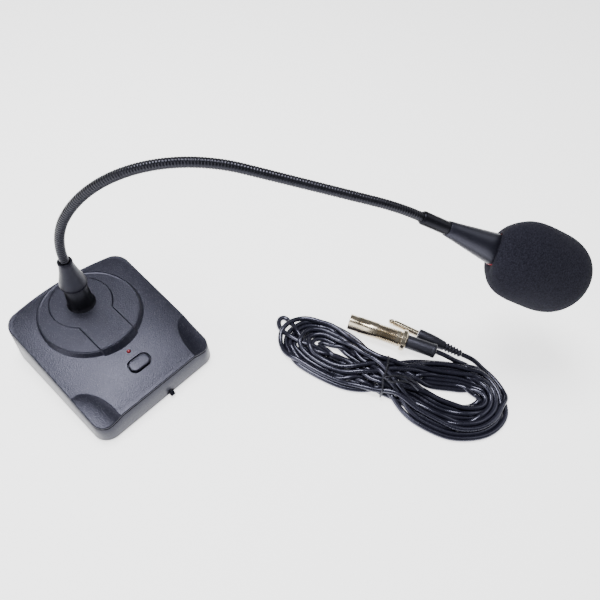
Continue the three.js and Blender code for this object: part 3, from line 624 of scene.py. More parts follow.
TIE_PLASTIC = finish_of(
    "tie_plastic", (0.006, 0.006, 0.007), (0.014, 0.014, 0.016), gloss=(0.3, 0.45), bump=0.02
)
tie_band = thin_wire(
    "tie_band",
    [(-3, -6, tie_top + 0.8), (-2.4, -12, tie_top), (-2, -16.6, tie_top - 4), (-1.6, -17.4, 5),
     (-1, -14, 0.8), (0, 0, 0.7), (1, 17, 0.8), (1.6, 21.2, 5), (1.8, 20.6, tie_top - 4),
     (1.2, 15, tie_top + 0.1), (0, 4, tie_top + 0.4), (-2, -4, tie_top + 0.8)],
    TIE_RADIUS, TIE_PLASTIC,
)
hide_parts("cable_tie")
tie_end_long = thin_wire(
    "tie_end_long",
    [(-3, -6.4, tie_top + 1.4), (1, -5, tie_top + 2.4), (8, -2.4, tie_top + 2.0),
     (18, -1.6, tie_top + 1.2), (27, -5, tie_top + 0.8), (34, -9.4, tie_top + 0.4)],
    TIE_RADIUS, TIE_PLASTIC,
)
tie_end_short = thin_wire(
    "tie_end_short",
    [(-3.4, -4.8, tie_top + 1.6), (0, -7.6, tie_top + 2.3), (6, -9, tie_top + 1.8),
     (14, -6.2, tie_top + 1.8), (22, -6.6, tie_top + 1.3), (29, -12, tie_top + 0.8)],
    TIE_RADIUS, TIE_PLASTIC,
)

# ------------------------------------------------------------------------------------------------
# Housing: the lower half of the case, an injection-moulded ABS tray in charcoal with a fine spark
# grain. Its rim slopes up to the back; slots for the switch, socket, feet and battery door.
HALF_W, HALF_D, CORNER, BOW = 60.0, 65.0, 13.0, 7.0
RIM_FRONT, RIM_REAR = 23.0, 42.0
SLOPE = (RIM_REAR - RIM_FRONT) / (2 * HALF_D)
EDGE = 1.3
SCOOP_AXES = (24.0, 43.43, 7.4)
SCOOP_MID = 27.5


def scoop_height(x, y):
    """The bowl of the thumb scoop at the nearer front corner; high above the lid elsewhere."""
    share = 1 - ((HALF_W - np.abs(x)) / SCOOP_AXES[0]) ** 2 - ((y + HALF_D) / SCOOP_AXES[1]) ** 2
    bowl = SCOOP_MID + SLOPE * (y + HALF_D) - SCOOP_AXES[2] * np.sqrt(np.clip(share, 0, 1))
    return np.where(share > 0, bowl, 99.0)


def rim_plane(y):
    """Height of the sloping rim where no scoop cuts into it."""
    return RIM_FRONT + SLOPE * (y + HALF_D)


def rim_height(x, y):
    """The parting line between housing and cover: a plane that dips at the thumb scoops."""
    return np.minimum(rim_plane(y), scoop_height(x, y) - EDGE)


def outline(inset, across=90, corner=22):
    """Plan of the case drawn in by inset, evenly stepped along each side and corner."""
    w, d, r = HALF_W - inset, HALF_D - inset, max(CORNER - inset, 0.8)
    points = []
    for cx, cy, start in ((w - r, -d + r, -90), (w - r, d - r, 0), (-w + r, d - r, 90),
                          (-w + r, -d + r, 180)):
        for k in range(corner):
            angle = math.radians(start + 90 * k / corner)
            points.append((cx + r * math.cos(angle), cy + r * math.sin(angle)))
        angle = math.radians(start + 90)
        first = (cx + r * math.cos(angle), cy + r * math.sin(angle))
        quarter = {-90: (w, d - r), 0: (-w + r, d), 90: (-w, -d + r), 180: (w - r, -d)}
        last = quarter[start]
        for k in range(across):
            t = k / across
            points.append((first[0] + (last[0] - first[0]) * t,
                           first[1] + (last[1] - first[1]) * t))
    plan = np.array(points)
    behind = plan[:, 1] > 0
    plan[behind, 1] += BOW * np.clip(1 - (plan[behind, 0] / w) ** 2, 0, 1)
    return plan


def skin(shape, rings):
    """Faces between rings of equal count, each an array of millimetre points, and both end caps."""
    loops = [[shape.verts.new(at_base(*p)) for p in ring] for ring in rings]
    count = len(loops[0])
    for below, above in zip(loops, loops[1:]):
        for k in range(count):
            n = (k + 1) % count
            shape.faces.new((below[k], below[n], above[n], above[k]))
    shape.faces.new(loops[0][::-1])
    shape.faces.new(loops[-1])


def ring_at(inset, height):
    """The outline drawn in by inset, at one height or at a height that changes over the plan."""
    plan = outline(inset)
    z = height(plan[:, 0], plan[:, 1]) if callable(height) else np.full(len(plan), height)
    return np.column_stack([plan, z])


# The case plastic carries painted glint: pale flecks in its colour stand in for light catching its
# spark grain.
CASE_PLASTIC = finish_of(
    "case_plastic", (0.003, 0.003, 0.007), (0.007, 0.007, 0.013), gloss=(0.3, 0.36),
    grains=1000.0, bump=0.22, painted_glint_amount=0.4, patches=18.0, spec=0.42,
)
SEAT = 1.1


def under_rim(drop):
    """Heights that lie drop below the seat of the cover."""
    return lambda x, y: rim_height(x, y) - SEAT - drop


housing_shape = bmesh.new()
skin(
    housing_shape,
    [
        ring_at(1.6, 1.5),
        ring_at(0.7, 1.75),
        ring_at(0.15, 2.5),
        ring_at(0.05, 3.5),
        ring_at(1.0, lambda x, y: (rim_height(x, y) - SEAT) * 0.5 + 1.7),
        ring_at(1.8, under_rim(0.3)),
        ring_at(2.0, under_rim(0)),
        ring_at(2.2, under_rim(0.1)),
        ring_at(3.0, under_rim(2.6)),
        ring_at(3.2, 4.2),
        ring_at(3.6, 4.0),
    ],
)


def block(shape, x0, x1, y0, y1, z0, z1):
    """Adds a box between two places of each direction, in millimetres from the base's middle."""
    corners = [(x, y, z) for x in (x0, x1) for y in (y0, y1) for z in (z0, z1)]
    v = [shape.verts.new(at_base(*c)) for c in corners]
    for ids in ((0, 1, 3, 2), (4, 6, 7, 5), (0, 4, 5, 1), (2, 3, 7, 6), (0, 2, 6, 4), (1, 5, 7, 3)):
        shape.faces.new([v[i] for i in ids])


def carved(piece, cutter_shape):
    """Cuts a closed shape out of a finished piece."""
    bmesh.ops.recalc_face_normals(cutter_shape, faces=cutter_shape.faces[:])
    mesh = bpy.data.meshes.new("cutter")
    cutter_shape.to_mesh(mesh)
    cutter_shape.free()
    cutter = bpy.data.objects.new("cutter", mesh)
    bpy.context.scene.collection.objects.link(cutter)
    modifier = piece.modifiers.new("cut", "BOOLEAN")
    modifier.operation = "DIFFERENCE"
    modifier.solver = "EXACT"
    modifier.object = cutter
    done = bpy.data.meshes.new_from_object(
        piece.evaluated_get(bpy.context.evaluated_depsgraph_get())
    )
    piece.modifiers.clear()
    done.name = piece.name
    piece.data = done
    bpy.data.objects.remove(cutter)


FEET = [(-48, -53), (48, -53), (-47, 57), (47, 57)]
SCREWS = [(-50, -33), (50, -33), (-46, 44), (46, 44)]
SWITCH_SLOT = (3.4, 10.6, -70, -60, 4.0, 6.0)
BATTERY_OPENING = (24.5, 70, -20, 38, -1, 3.8)
SOCKET_HEIGHT = 23
UP = Vector((0, 0, 1))
BACK = Vector((0, 1, 0))


def round_hole(shape, radius, first, last, start, axis, around):
    """Adds a plain rod, to be cut out as a hole."""
    turned_shape([(0, first), (radius, first), (radius, last), (0, last)], start, axis, around, shape)


holes = bmesh.new()
block(holes, *SWITCH_SLOT)
block(holes, *BATTERY_OPENING)
for x, y in FEET:
    round_hole(holes, 6.3, 0, 2.5, at_base(x, y, 0), UP, 40)
for x, y in SCREWS:
    round_hole(holes, 3.3, 0, 3.6, at_base(x, y, 0), UP, 32)
round_hole(holes, 11.8, 40, 90, at_base(0, 0, SOCKET_HEIGHT), BACK, 72)
housing = piece_from("housing", housing_shape, CASE_PLASTIC, None)
carved(housing, holes)
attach(housing, "base")
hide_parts("base_housing")

# ------------------------------------------------------------------------------------------------
# Top cover: the upper half of the case, moulded in the same plastic. A gently crowned lid with two
# thumb scoops, and a round plinth with a beaded edge and a raised tongue where the neck stands.
DISC = (0.0, 27.0)
DISC_R = 41.4
BOSS = (0.0, 39.0)
TONGUE_R, TONGUE_HALF, TONGUE_RISE = 26.0, 16.5, 1.1
CROWN = 2.2
lid_inset = 2.9
lid_w, lid_d, lid_r = HALF_W - lid_inset, HALF_D - lid_inset, CORNER - lid_inset


def soft_step(value, low, high):
    """Goes smoothly from 0 at low to 1 at high."""
    t = np.clip((value - low) / (high - low), 0, 1)
    return t * t * (3 - 2 * t)


def disc_top(y):
    """Height of the round plinth's top, which slopes less than the lid."""
    return 36.3 + 0.09 * (y - DISC[1] + DISC_R)


def lid_height(x, y):
    """Height of the cover's outer face, in millimetres."""
    share = ((np.abs(x) / lid_w) ** 6 + (np.abs(y - 3) / (lid_d + 1)) ** 6) ** (1 / 6)
    lid = rim_plane(y) + EDGE + CROWN * (1 - np.clip(share, 0, 1) ** 2.5)
    bowl = scoop_height(x, y)
    soft = np.clip(0.5 + 0.5 * (bowl - lid) / 0.3, 0, 1)
    lid = bowl * (1 - soft) + lid * soft - 0.3 * soft * (1 - soft)
    away = np.hypot(x - DISC[0], y - DISC[1])
    round_boss = np.hypot(x - BOSS[0], y - BOSS[1]) - TONGUE_R
    strip = np.maximum(np.abs(x) - TONGUE_HALF, y - BOSS[1])
    raised = TONGUE_RISE * soft_step(-np.minimum(round_boss, strip), -0.3, 0.3)
    plinth = disc_top(y) + raised - np.clip(away - DISC_R, 0, None) * 0.9
    inside = soft_step(away, DISC_R + 0.6, DISC_R - 0.4)
    higher = np.maximum(plinth, lid)
    bead = 0.34 * np.exp(-(((away - DISC_R + 0.1) / 0.55) ** 2))
    return higher * (1 - inside) + plinth * inside + bead


def spaced(half, fine, rough, zone):
    """Values from -half to half, closer together within zone of both ends."""
    side = zone * (1 - np.cos(np.linspace(0, math.pi / 2, fine)))
    middle = np.linspace(-half + zone, half - zone, rough)
    return np.concatenate([-half + side[:-1], middle, (half - side[:-1])[::-1]])


rows = spaced(lid_d, fine=24, rough=250, zone=lid_r)
reach = np.where(
    np.abs(rows) > lid_d - lid_r,
    lid_w - lid_r + np.sqrt(np.clip(lid_r**2 - (np.abs(rows) - lid_d + lid_r) ** 2, 0, None)),
    lid_w,
)
columns = spaced(1.0, fine=20, rough=230, zone=0.12)
grid_x = reach[:, None] * columns[None, :]
grid_y = np.repeat(rows[:, None], len(columns), axis=1)
bulge = BOW * np.clip(1 - (grid_x / lid_w) ** 2, 0, 1)
grid_y = np.where(grid_y > 0, grid_y * (1 + bulge / lid_d), grid_y)
grid_z = lid_height(grid_x, grid_y)

cover_shape = bmesh.new()
lid_verts = [
    [cover_shape.verts.new(at_base(*p)) for p in zip(*line)]
    for line in zip(grid_x, grid_y, grid_z)
]
for a, b in zip(lid_verts, lid_verts[1:]):
    for k in range(len(a) - 1):
        cover_shape.faces.new((a[k], a[k + 1], b[k + 1], b[k]))
last = len(rows) - 1
end = len(columns) - 1
border = [(0, k) for k in range(end)] + [(k, end) for k in range(last)]
border += [(last, k) for k in range(end, 0, -1)] + [(k, 0) for k in range(last, 0, -1)]
edge_xy = np.array([(grid_x[i, j], grid_y[i, j]) for i, j in border])
edge_z = np.array([grid_z[i, j] for i, j in border])
along = np.roll(edge_xy, -1, axis=0) - np.roll(edge_xy, 1, axis=0)
outward = np.column_stack([along[:, 1], -along[:, 0]])
outward /= np.linalg.norm(outward, axis=1)[:, None] + 1e-9
previous = [lid_verts[i][j] for i, j in border]
LID_EDGE = [(0.35, 0.08), (0.62, 0.28), (0.78, 0.6), (0.8, EDGE), (-1.8, EDGE), (-1.8, 4.6)]
for out, drop in LID_EDGE:
    ring = [
        cover_shape.verts.new(at_base(p[0] + n[0] * out, p[1] + n[1] * out, z - drop))
        for p, n, z in zip(edge_xy, outward, edge_z)
    ]
    for k in range(len(ring)):
        n = (k + 1) % len(ring)
        cover_shape.faces.new((previous[k], previous[n], ring[n], ring[k]))
    previous = ring
cover_shape.faces.new(previous)
cover = piece_from("cover", cover_shape, CASE_PLASTIC, None, crease=50)

BUTTON_Y, LED_Y = -37.7, -24.0
LID_NORMAL = Vector((0, -SLOPE, 1)).normalized()
LID_UPHILL = Vector((0, 1, SLOPE)).normalized()


def lid_top(y):
    """Height of the lid along its middle, where the button and the lamp are."""
    return rim_plane(y) + EDGE + CROWN


def pill(shape, width, depth, corner, levels, steps=12):
    """Closed rounded-rectangle block square to the lid; levels are (inset, height) in mm."""
    rings = []
    centre = at_base(0, BUTTON_Y, lid_top(BUTTON_Y))
    for inset, height in levels:
        w, d = width / 2 - inset, depth / 2 - inset
        r = max(corner - inset, 0.3)
        ring = []
        for cx, cy, start in ((w - r, -d + r, -90), (w - r, d - r, 0), (-w + r, d - r, 90),
                              (-w + r, -d + r, 180)):
            for k in range(steps + 1):
                angle = math.radians(start + 90 * k / steps)
                px, py = cx + r * math.cos(angle), cy + r * math.sin(angle)
                ring.append(
                    shape.verts.new(
                        centre + (Vector((px, 0, 0)) + LID_UPHILL * py + LID_NORMAL * height) / 1000
                    )
                )
        rings.append(ring)
    count = len(rings[0])
    for below, above in zip(rings, rings[1:]):
        for k in range(count):
            n = (k + 1) % count
            shape.faces.new((below[k], below[n], above[n], above[k]))
    shape.faces.new(rings[0][::-1])
    shape.faces.new(rings[-1])


lid_holes = bmesh.new()
pill(lid_holes, 21.0, 13.5, 6.0, [(0, -12), (0, 9)])
lamp_place = at_base(0, LED_Y, lid_top(LED_Y))
round_hole(lid_holes, 1.75, -9, 9, lamp_place, LID_NORMAL, 40)
carved(cover, lid_holes)
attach(cover, "base")
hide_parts("top_cover")

# ------------------------------------------------------------------------------------------------
# Talk button: a moulded key that stands just proud of the lid in a dark gap, on a latching switch.
BLACK_PLASTIC = finish_of(
    "black_plastic", (0.003, 0.003, 0.006), (0.007, 0.007, 0.011), gloss=(0.32, 0.4),
    grains=2200.0, bump=0.04, spec=0.26,
)
button_shape = bmesh.new()
pill(
    button_shape, 18.6, 11.1, 4.9,
    [(0.0, -3.4), (0.0, 0.5), (0.12, 0.85), (0.45, 1.1), (0.95, 1.22), (2.4, 1.3), (4.4, 1.34)],
)
piece_from(
    "talk_button_cap", button_shape, CASE_PLASTIC, "talk_button", crease=60
)
skirt_shape = bmesh.new()
pill(skirt_shape, 23.6, 16.1, 5.4, [(0, -4.2), (0, -3.2)])
piece_from(
    "talk_button_skirt", skirt_shape, BLACK_PLASTIC, "talk_button", ["power_button"],
)

# ------------------------------------------------------------------------------------------------
# Power lamp: a 3 mm red diffused LED, standing a little above the cover in its own hole.
RED_LENS = finish_of(
    "red_lens", (0.16, 0.006, 0.008), (0.26, 0.012, 0.014), gloss=(0.2, 0.3), grains=800.0, bump=0.01
)
lamp_profile = [(0, -4.5), (1.5, -4.5), (1.5, 0), (1.42, 0.4), (1.2, 0.75), (0.8, 1.0), (0.4, 1.1),
                (0, 1.13)]
piece_from(
    "power_lamp", turned_shape(lamp_profile, lamp_place, LID_NORMAL, 36), RED_LENS, "base",
    ["power_led"], crease=60,
)

# ------------------------------------------------------------------------------------------------
# Panel socket in the rear wall: a nickel-plated shell with a rolled flange, a moulded insulator
# and three gold-coloured pins.
STEEL = finish_of(
    "bright_steel", (0.45, 0.45, 0.46), (0.6, 0.6, 0.61), gloss=(0.24, 0.36), metal=1.0,
    grains=900.0, bump=0.01, patches=80.0,
)
BRASS = finish_of(
    "pin_brass", (0.62, 0.44, 0.17), (0.75, 0.56, 0.25), gloss=(0.2, 0.32), metal=1.0,
    grains=900.0, bump=0.01, patches=120.0,
)
socket_from = at_base(0, 0, SOCKET_HEIGHT)
SOCKET_PINS = [(-3.5, -2), (3.5, -2), (0, 4)]
socket_profile = rounded(
    [(9.6, 50), (11.5, 50), (11.5, 72.3), (13.2, 72.3), (12.9, 73.4), (12.2, 73.6), (9.6, 73.6),
     (9.6, 50)],
    0.2,
)
piece_from(
    "socket_shell", turned_shape(socket_profile, socket_from, BACK, 72), STEEL, "base",
    ["xlr_socket_shell"],
)
insert_profile = rounded([(0, 50), (9.3, 50), (9.3, 56), (0, 56)], 0.3)
piece_from(
    "socket_insulator", turned_shape(insert_profile, socket_from, BACK, 64), BLACK_PLASTIC, "base",
    ["xlr_socket_insert"],
)
for number, (x, z) in enumerate(SOCKET_PINS, 1):
    pin_shape = turned_shape(
        [(0, 56.3), (1.2, 56.3), (1.2, 65.9), (1.0, 66.5), (0.6, 66.8), (0, 66.9)],
        at_base(x, 0, SOCKET_HEIGHT + z), BACK, 24,
    )
    piece_from(
        f"socket_pin_{number}", pin_shape, BRASS, "base", [f"xlr_socket_pin_{number}"]
    )

# ------------------------------------------------------------------------------------------------
# Boss: the hollow post of the cover that holds the neck, polished smooth against the grained lid.
GLOSS_BLACK = finish_of(
    "gloss_black_lacquer", (0.003, 0.003, 0.004), (0.006, 0.006, 0.008), gloss=(0.26, 0.34),
    grains=500.0, bump=0.004, spec=0.16,
)
boss_foot = float(disc_top(BOSS[1])) + 0.9
boss_profile = [(8.6, boss_foot - 6), (12.4, boss_foot - 1), (12.0, boss_foot + 0.2)]
boss_profile += [(11.5, boss_foot + 0.8), (11.1, boss_foot + 1.8), (10.8, boss_foot + 3.2),
                 (10.5, boss_foot + 6), (9.4, 65.8), (9.0, 66.3), (5.6, 66.3), (5.6, boss_foot - 6),
                 (8.6, boss_foot - 6)]
piece_from(
    "neck_boss", turned_shape(boss_profile, at_base(*BOSS, 0), UP, 72), GLOSS_BLACK, "base",
    crease=45,
)

# ------------------------------------------------------------------------------------------------
# Neck collar: a flared black sleeve slipped over the boss, with a rolled lip where the neck leaves.
collar_profile = rounded(
    [(5.6, 66.6), (10.6, 66.6), (11.1, 67.6), (11.05, 69.5), (10.6, 71.6), (9.7, 75), (8.6, 78.4),
     (7.6, 82), (6.8, 85.6), (6.1, 89.2), (5.6, 92), (5.35, 93.2), (5.9, 93.6), (5.95, 94.6),
     (5.6, 95.4), (4.2, 95.4), (4.2, 80), (5.6, 74), (5.6, 66.6)],
    0.25,
)
piece_from(
    "collar", turned_shape(collar_profile, at_base(*BOSS, 0), UP, 72), BLACK_PLASTIC, "base",
    ["neck_collar"], crease=45,
)

# ------------------------------------------------------------------------------------------------
# Gooseneck: a steel wire and a wedge wire wound together into a flexible tube and painted black.
# It leaves the collar upright and sweeps over to the front right, ending at the head's ferrule.
HEADING = math.radians(-47.4)
NECK_BOTTOM = 72.4
NECK_FOOT = 90.0
NECK_RUNS = [(8.0, 0.0), (48.3, 32.5), (146.4, 70.5), (94.4, 0.0), (38.5, 10.5)]
NECK_LENGTH = sum(run for run, _ in NECK_RUNS)
FIRST_BEND, BEND_STEP, BENDS = 24.0, 38.5, 8
BEND_REACH = 15.0
FIRST_CUT = 4.8
TUBE_RADIUS, WIRE_PITCH, RIDGE_HEIGHT, TUBE_STEP = 0.00375, 0.0021, 0.00042, 0.0003


def neck_place(length):
    """Point and upward angle of the neck's centreline, by length from its foot in millimetres."""
    angle, out, up, left = math.pi / 2, 0.0, NECK_FOOT, length
    for index, (run, turn_by) in enumerate(NECK_RUNS):
        part = left if index == len(NECK_RUNS) - 1 else min(left, run)
        swing = math.radians(turn_by) * min(part, run) / run
        chord = 2 * part * math.sin(swing / 2) / swing if abs(swing) > 1e-9 else part
        out += chord * math.cos(angle - swing / 2)
        up += chord * math.sin(angle - swing / 2)
        angle -= swing
        left -= part
    place = at_base(BOSS[0] + out * math.cos(HEADING), BOSS[1] + out * math.sin(HEADING), up)
    return place, angle


def neck_direction(length):
    """Which way the neck runs at a length from its foot."""
    angle = neck_place(length)[1]
    flat = math.cos(angle)
    return Vector((flat * math.cos(HEADING), flat * math.sin(HEADING), math.sin(angle)))


NECK_PAINT = finish_of(
    "neck_paint", (0.003, 0.003, 0.004), (0.007, 0.007, 0.009), gloss=(0.24, 0.32), grains=1200.0,
    bump=0.01, patches=90.0, coat=0.04, spec=0.3,
)

winding = bpy.data.node_groups.new("wound_tube", "GeometryNodeTree")
for label, kind in (
    ("Centreline", "NodeSocketGeometry"),
    ("Tube radius", "NodeSocketFloat"),
    ("Wire pitch", "NodeSocketFloat"),
    ("Ridge height", "NodeSocketFloat"),
    ("Step", "NodeSocketFloat"),
    ("Paint", "NodeSocketMaterial"),
):
    winding.interface.new_socket(label, in_out="INPUT", socket_type=kind)
winding.interface.new_socket("Tube", in_out="OUTPUT", socket_type="NodeSocketGeometry")
nodes = winding.nodes
links = winding.links
given = nodes.new("NodeGroupInput")
result = nodes.new("NodeGroupOutput")
resample = nodes.new("GeometryNodeResampleCurve")
resample.mode = "LENGTH"
main_parameter = nodes.new("GeometryNodeSplineParameter")
keep_length = nodes.new("GeometryNodeStoreNamedAttribute")
keep_length.data_type = "FLOAT"
keep_length.domain = "POINT"
keep_length.inputs["Name"].default_value = "neck_length"
section = nodes.new("GeometryNodeCurvePrimitiveCircle")
section.inputs["Resolution"].default_value = 28
section_parameter = nodes.new("GeometryNodeSplineParameter")
keep_turn = nodes.new("GeometryNodeStoreNamedAttribute")
keep_turn.data_type = "FLOAT"
keep_turn.domain = "POINT"
keep_turn.inputs["Name"].default_value = "neck_turn"
tube = nodes.new("GeometryNodeCurveToMesh")
tube.inputs["Fill Caps"].default_value = False
read_length = nodes.new("GeometryNodeInputNamedAttribute")
read_length.data_type = "FLOAT"
read_length.inputs["Name"].default_value = "neck_length"
read_turn = nodes.new("GeometryNodeInputNamedAttribute")
read_turn.data_type = "FLOAT"
read_turn.inputs["Name"].default_value = "neck_turn"


def maths(operation, first, second=None):
    """A maths node of the wound tube, fed by numbers or by other nodes."""
    node = nodes.new("ShaderNodeMath")
    node.operation = operation
    for socket, value in zip(node.inputs, (first, second)):
        if value is None:
            continue
        if isinstance(value, (int, float)):
            socket.default_value = value
        else:
            links.new(value, socket)
    return node.outputs["Value"]


links.new(given.outputs["Centreline"], resample.inputs["Curve"])
links.new(given.outputs["Step"], resample.inputs["Length"])
links.new(resample.outputs["Curve"], keep_length.inputs["Geometry"])
links.new(main_parameter.outputs["Length"], keep_length.inputs["Value"])
links.new(given.outputs["Tube radius"], section.inputs["Radius"])
links.new(section.outputs["Curve"], keep_turn.inputs["Geometry"])
links.new(section_parameter.outputs["Factor"], keep_turn.inputs["Value"])
links.new(keep_length.outputs["Geometry"], tube.inputs["Curve"])
links.new(keep_turn.outputs["Geometry"], tube.inputs["Profile Curve"])
turns = maths("DIVIDE", read_length.outputs["Attribute"], given.outputs["Wire pitch"])
phase = maths("SUBTRACT", turns, read_turn.outputs["Attribute"])
wave = maths("SINE", maths("MULTIPLY", maths("FRACT", phase), math.pi))
sunk = maths("MULTIPLY", maths("SUBTRACT", maths("POWER", wave, 0.7), 1.0),
             given.outputs["Ridge height"])
normal = nodes.new("GeometryNodeInputNormal")
move = nodes.new("ShaderNodeVectorMath")
move.operation = "SCALE"
links.new(normal.outputs["Normal"], move.inputs[0])
links.new(sunk, move.inputs["Scale"])
shift = nodes.new("GeometryNodeSetPosition")
links.new(tube.outputs["Mesh"], shift.inputs["Geometry"])
links.new(move.outputs["Vector"], shift.inputs["Offset"])
realize = nodes.new("GeometryNodeRealizeInstances")
paint = nodes.new("GeometryNodeSetMaterial")
links.new(shift.outputs["Geometry"], realize.inputs["Geometry"])
links.new(realize.outputs["Geometry"], paint.inputs["Geometry"])
links.new(given.outputs["Paint"], paint.inputs["Material"])
links.new(paint.outputs["Geometry"], result.inputs["Tube"])

centreline = bpy.data.curves.new("neck_centreline", "CURVE")
centreline.dimensions = "3D"
centreline.twist_mode = "MINIMUM"
neck_line = centreline.splines.new("POLY")
below = NECK_FOOT - NECK_BOTTOM
stops = np.concatenate([[-below], np.arange(-below + 2, NECK_LENGTH - 0.3, 2.0), [NECK_LENGTH - 0.3]])
neck_line.points.add(len(stops) - 1)
for point, stop in zip(neck_line.points, stops):
    place = neck_place(stop)[0] if stop >= 0 else at_base(*BOSS, NECK_FOOT + stop)
    point.co = (*place, 1)
neck_source = bpy.data.objects.new("neck_source", centreline)
bpy.context.scene.collection.objects.link(neck_source)
wind = neck_source.modifiers.new("winding", "NODES")
wind.node_group = winding
identifier = {item.name: item.identifier for item in winding.interface.items_tree}
wind[identifier["Tube radius"]] = TUBE_RADIUS
wind[identifier["Wire pitch"]] = WIRE_PITCH
wind[identifier["Ridge height"]] = RIDGE_HEIGHT
wind[identifier["Step"]] = TUBE_STEP
wind[identifier["Paint"]] = NECK_PAINT
wound = bpy.data.meshes.new_from_object(
    neck_source.evaluated_get(bpy.context.evaluated_depsgraph_get())
)
bpy.data.objects.remove(neck_source)

lengths = np.zeros(len(wound.vertices), np.float32)
wound.attributes["neck_length"].data.foreach_get("value", lengths)
lengths = lengths * 1000 - below
verts = np.zeros(len(wound.vertices) * 3, np.float32)
wound.vertices.foreach_get("co", verts)
verts = verts.reshape(-1, 3)
bends = [FIRST_BEND + BEND_STEP * k for k in range(BENDS)]
cuts = [-math.inf, FIRST_CUT] + [bend + BEND_STEP / 2 for bend in bends[:-1]] + [math.inf]
face_ids = [tuple(polygon.vertices) for polygon in wound.polygons]
face_at = np.array([lengths[list(ids)].mean() for ids in face_ids])
for number in range(len(cuts) - 1):
    chosen = [ids for ids, where_at in zip(face_ids, face_at)
              if cuts[number] <= where_at < cuts[number + 1]]
    used = sorted({i for ids in chosen for i in ids})
    renumber = {old: new for new, old in enumerate(used)}
    stretch = bmesh.new()
    made = [stretch.verts.new(verts[i]) for i in used]
    for ids in chosen:
        stretch.faces.new([made[renumber[i]] for i in ids])
    bmesh.ops.holes_fill(stretch, edges=[e for e in stretch.edges if e.is_boundary])
    winding_piece = piece_from(
        f"neck_winding_{number}", stretch, NECK_PAINT, "base" if number == 0 else None,
        [f"neck_link_{number}"], crease=80,
    )
    if number:
        middle = bends[number - 1]
        tuple(neck_place(middle - BEND_REACH)[0])
        tuple(neck_place(middle + BEND_REACH)[0])
        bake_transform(winding_piece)
bpy.data.meshes.remove(wound)

# ------------------------------------------------------------------------------------------------
# Ferrule: a glossy black turned sleeve that grips the end of the neck and screws into the head.
neck_end, _ = neck_place(NECK_LENGTH)
head_axis = neck_direction(NECK_LENGTH)
ferrule_profile = rounded(
    [(0, 0), (4.35, 0), (5.2, 1.5), (5.25, 2.2), (5.25, 23.6), (5.0, 24), (3.6, 24), (3.6, 29),
     (0, 29)],
    0.25,
)
piece_from(
    "ferrule_sleeve", turned_shape(ferrule_profile, neck_end, head_axis, 64), GLOSS_BLACK, "neck_8",
    ["ferrule"], crease=45,
)

# ------------------------------------------------------------------------------------------------
# Head shell: a slim moulded cone that widens from the ferrule to the capsule, in satin black.
cone_profile = [(3.9, 24.3), (5.6, 24.3), (5.9, 24.7), (6.6, 30), (7.6, 37.5), (8.7, 45), (9.8, 53),
                (10.9, 61), (11.9, 68), (12.35, 71.5), (12.5, 73), (12.35, 73.8), (12.0, 74),
                (11, 74), (10.9, 71), (6, 36), (3.9, 30.5), (3.9, 24.3)]
SATIN_BLACK = finish_of(
    "satin_black_plastic", (0.004, 0.004, 0.007), (0.009, 0.009, 0.014), gloss=(0.36, 0.44),
    grains=2200.0, bump=0.03, spec=0.5,
)
piece_from(
    "head_cone", turned_shape(cone_profile, neck_end, head_axis, 72), SATIN_BLACK, "neck_8",
    ["head_shell"], crease=40,
)

# ------------------------------------------------------------------------------------------------
# Light ring: a translucent red acrylic hoop between head and windscreen, lit from behind in use.
ring_profile = rounded([(10.6, 74.3), (13, 74.3), (13, 76.6), (10.6, 76.6), (10.6, 74.3)], 0.4)
piece_from(
    "light_hoop", turned_shape(ring_profile, neck_end, head_axis, 72), RED_LENS, "neck_8",
    ["ring_light"], crease=60,
)

# ------------------------------------------------------------------------------------------------
# Windscreen: a blunt egg of fine open-cell polyurethane foam, moulded with a socket that grips the
# grille behind it.
FOAM_LIP, FOAM_MID, FOAM_NOSE, FOAM_R = 77.2, 125.5, 36.4, 33.9
NOSE_STEPS, NOSE_POWER = 110, 0.72
shoulder = smooth_line(
    [(14.9, 77.2, 0), (17.6, 77.9, 0), (21.6, 80.4, 0), (25.8, 84.6, 0), (29.2, 89.6, 0),
     (31.6, 95.4, 0), (33.1, 102.2, 0), (33.7, 109, 0), (FOAM_R, 116, 0)],
    0.5,
)
foam_profile = [(7.4, 107), (11.2, 103.6), (12.5, 98.6), (12.5, 81.6), (13.3, 80.4), (13.3, 77.6),
                (13.7, 77.2)]
foam_profile += [(float(r), float(d)) for r, d, _ in shoulder]
foam_profile += [(FOAM_R, 116 + 9.5 * k / 18) for k in range(1, 19)]
for step in range(1, NOSE_STEPS + 1):
    angle = math.pi / 2 * step / NOSE_STEPS
    radius = FOAM_R * math.cos(angle) ** NOSE_POWER if step < NOSE_STEPS else 0
    foam_profile.append((radius, FOAM_MID + FOAM_NOSE * math.sin(angle) ** NOSE_POWER))
foam_profile = [(0, 108.4)] + foam_profile
foam_shape = turned_shape(foam_profile, neck_end, head_axis, 260)
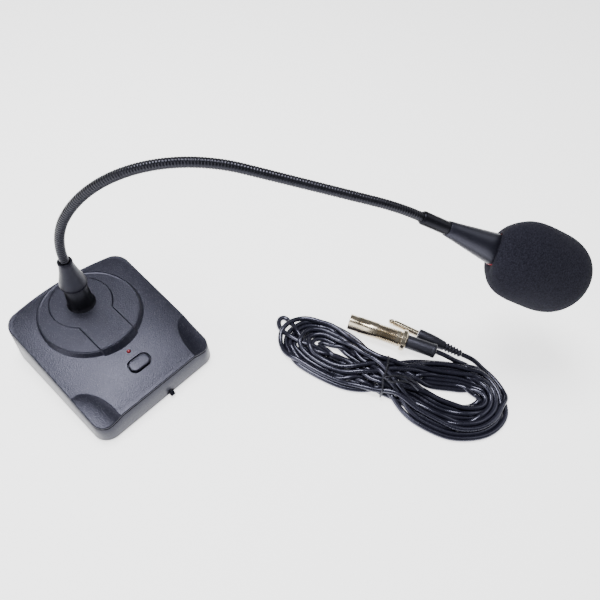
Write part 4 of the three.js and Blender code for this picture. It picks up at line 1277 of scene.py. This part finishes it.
# Pushed on by hand, it sits askew: further back on one side, and short of the ring underneath.
near = (head_axis * look.dot(head_axis) - look).normalized()
above = (upward - head_axis * upward.dot(head_axis)).normalized()
centre = neck_end + head_axis * 0.118
SOCKET_WALL, SOCKET_STEP, SOCKET_END = 0.01345, 79, 110
LEAN_NEAR, LEAN_ABOVE = 0.36, -0.12
LIP_NEAR, LIP_ABOVE = 0.0055, 0.0036
for vert in foam_shape.verts:
    from_end = vert.co - neck_end
    distance = from_end.dot(head_axis) * 1000
    side = from_end - head_axis * (distance / 1000)
    if side.length < 1e-6 or (side.length < SOCKET_WALL and distance > SOCKET_STEP):
        continue
    lip = max(0, min(1, 1 - (distance - FOAM_LIP) / 12))
    rear = max(0, min(1, 1 - (distance - 84) / 40))
    lean = LEAN_NEAR * side.dot(near) + LEAN_ABOVE * side.dot(above)
    over = 0.5 + 0.5 * side.normalized().dot(above)
    close = max(0, side.normalized().dot(near))
    vert.co -= head_axis * (lean * rear + (LIP_ABOVE * over + LIP_NEAR * close) * lip)
    if side.length < SOCKET_WALL and distance < SOCKET_END:
        continue
    away = (vert.co - centre).normalized()
    pores = noise.noise(vert.co * 1300) * 0.00012 + noise.noise(vert.co * 500) * 0.00008
    vert.co += away * (pores + noise.noise(vert.co * 26) * 0.0004)
FOAM = finish_of(
    "windscreen_foam", (0.004, 0.004, 0.007), (0.022, 0.022, 0.032), gloss=(0.85, 1.0), grains=1500.0,
    bump=0.35, patches=900.0, spec=0.12,
)
foam = piece_from(
    "foam_cover", foam_shape, FOAM, "windscreen", ["foam_windscreen"], crease=70
)

# ------------------------------------------------------------------------------------------------
# Parts carried over as they are from the frame: each gets the finish of the real one.
BOARD = finish_of(
    "board_lacquer", (0.012, 0.07, 0.03), (0.02, 0.11, 0.05), gloss=(0.3, 0.4), grains=600.0,
    bump=0.02,
)
CELL_SLEEVE = finish_of(
    "cell_sleeve", (0.02, 0.05, 0.11), (0.03, 0.07, 0.15), gloss=(0.2, 0.3), grains=400.0, bump=0.01
)
SOFT_RUBBER = finish_of(
    "foot_rubber", (0.012, 0.012, 0.012), (0.02, 0.02, 0.02), gloss=(0.7, 0.85), grains=1200.0,
    bump=0.06,
)
CARRIED = [
    (CASE_PLASTIC, ["battery_door"]),
    (SOFT_RUBBER, [f"foot_{number}" for number in range(1, 5)]),
    (STEEL, [f"case_screw_{number}" for number in range(1, 5)]),
    (STEEL, ["ballast_plate", "battery_contact_front", "battery_contact_rear"]),
    (STEEL, ["slide_switch_body", "neck_washer", "mic_capsule", "grille_basket"]),
    (CELL_SLEEVE, ["battery_1", "battery_2"]),
    (BOARD, ["circuit_board", "ring_led_board"]),
    (BLACK_PLASTIC, ["latch_switch", "slide_switch_knob", "capsule_holder", "xlr_plug_insert"]),
    (BRASS, ["neck_stem", "neck_nut"]),
    (NICKEL, ["xlr_plug_latch"]),
]
for finish, carried_nodes in CARRIED:
    for node in carried_nodes:
        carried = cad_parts[node]
        carried.data.materials.clear()
        carried.data.materials.append(finish)
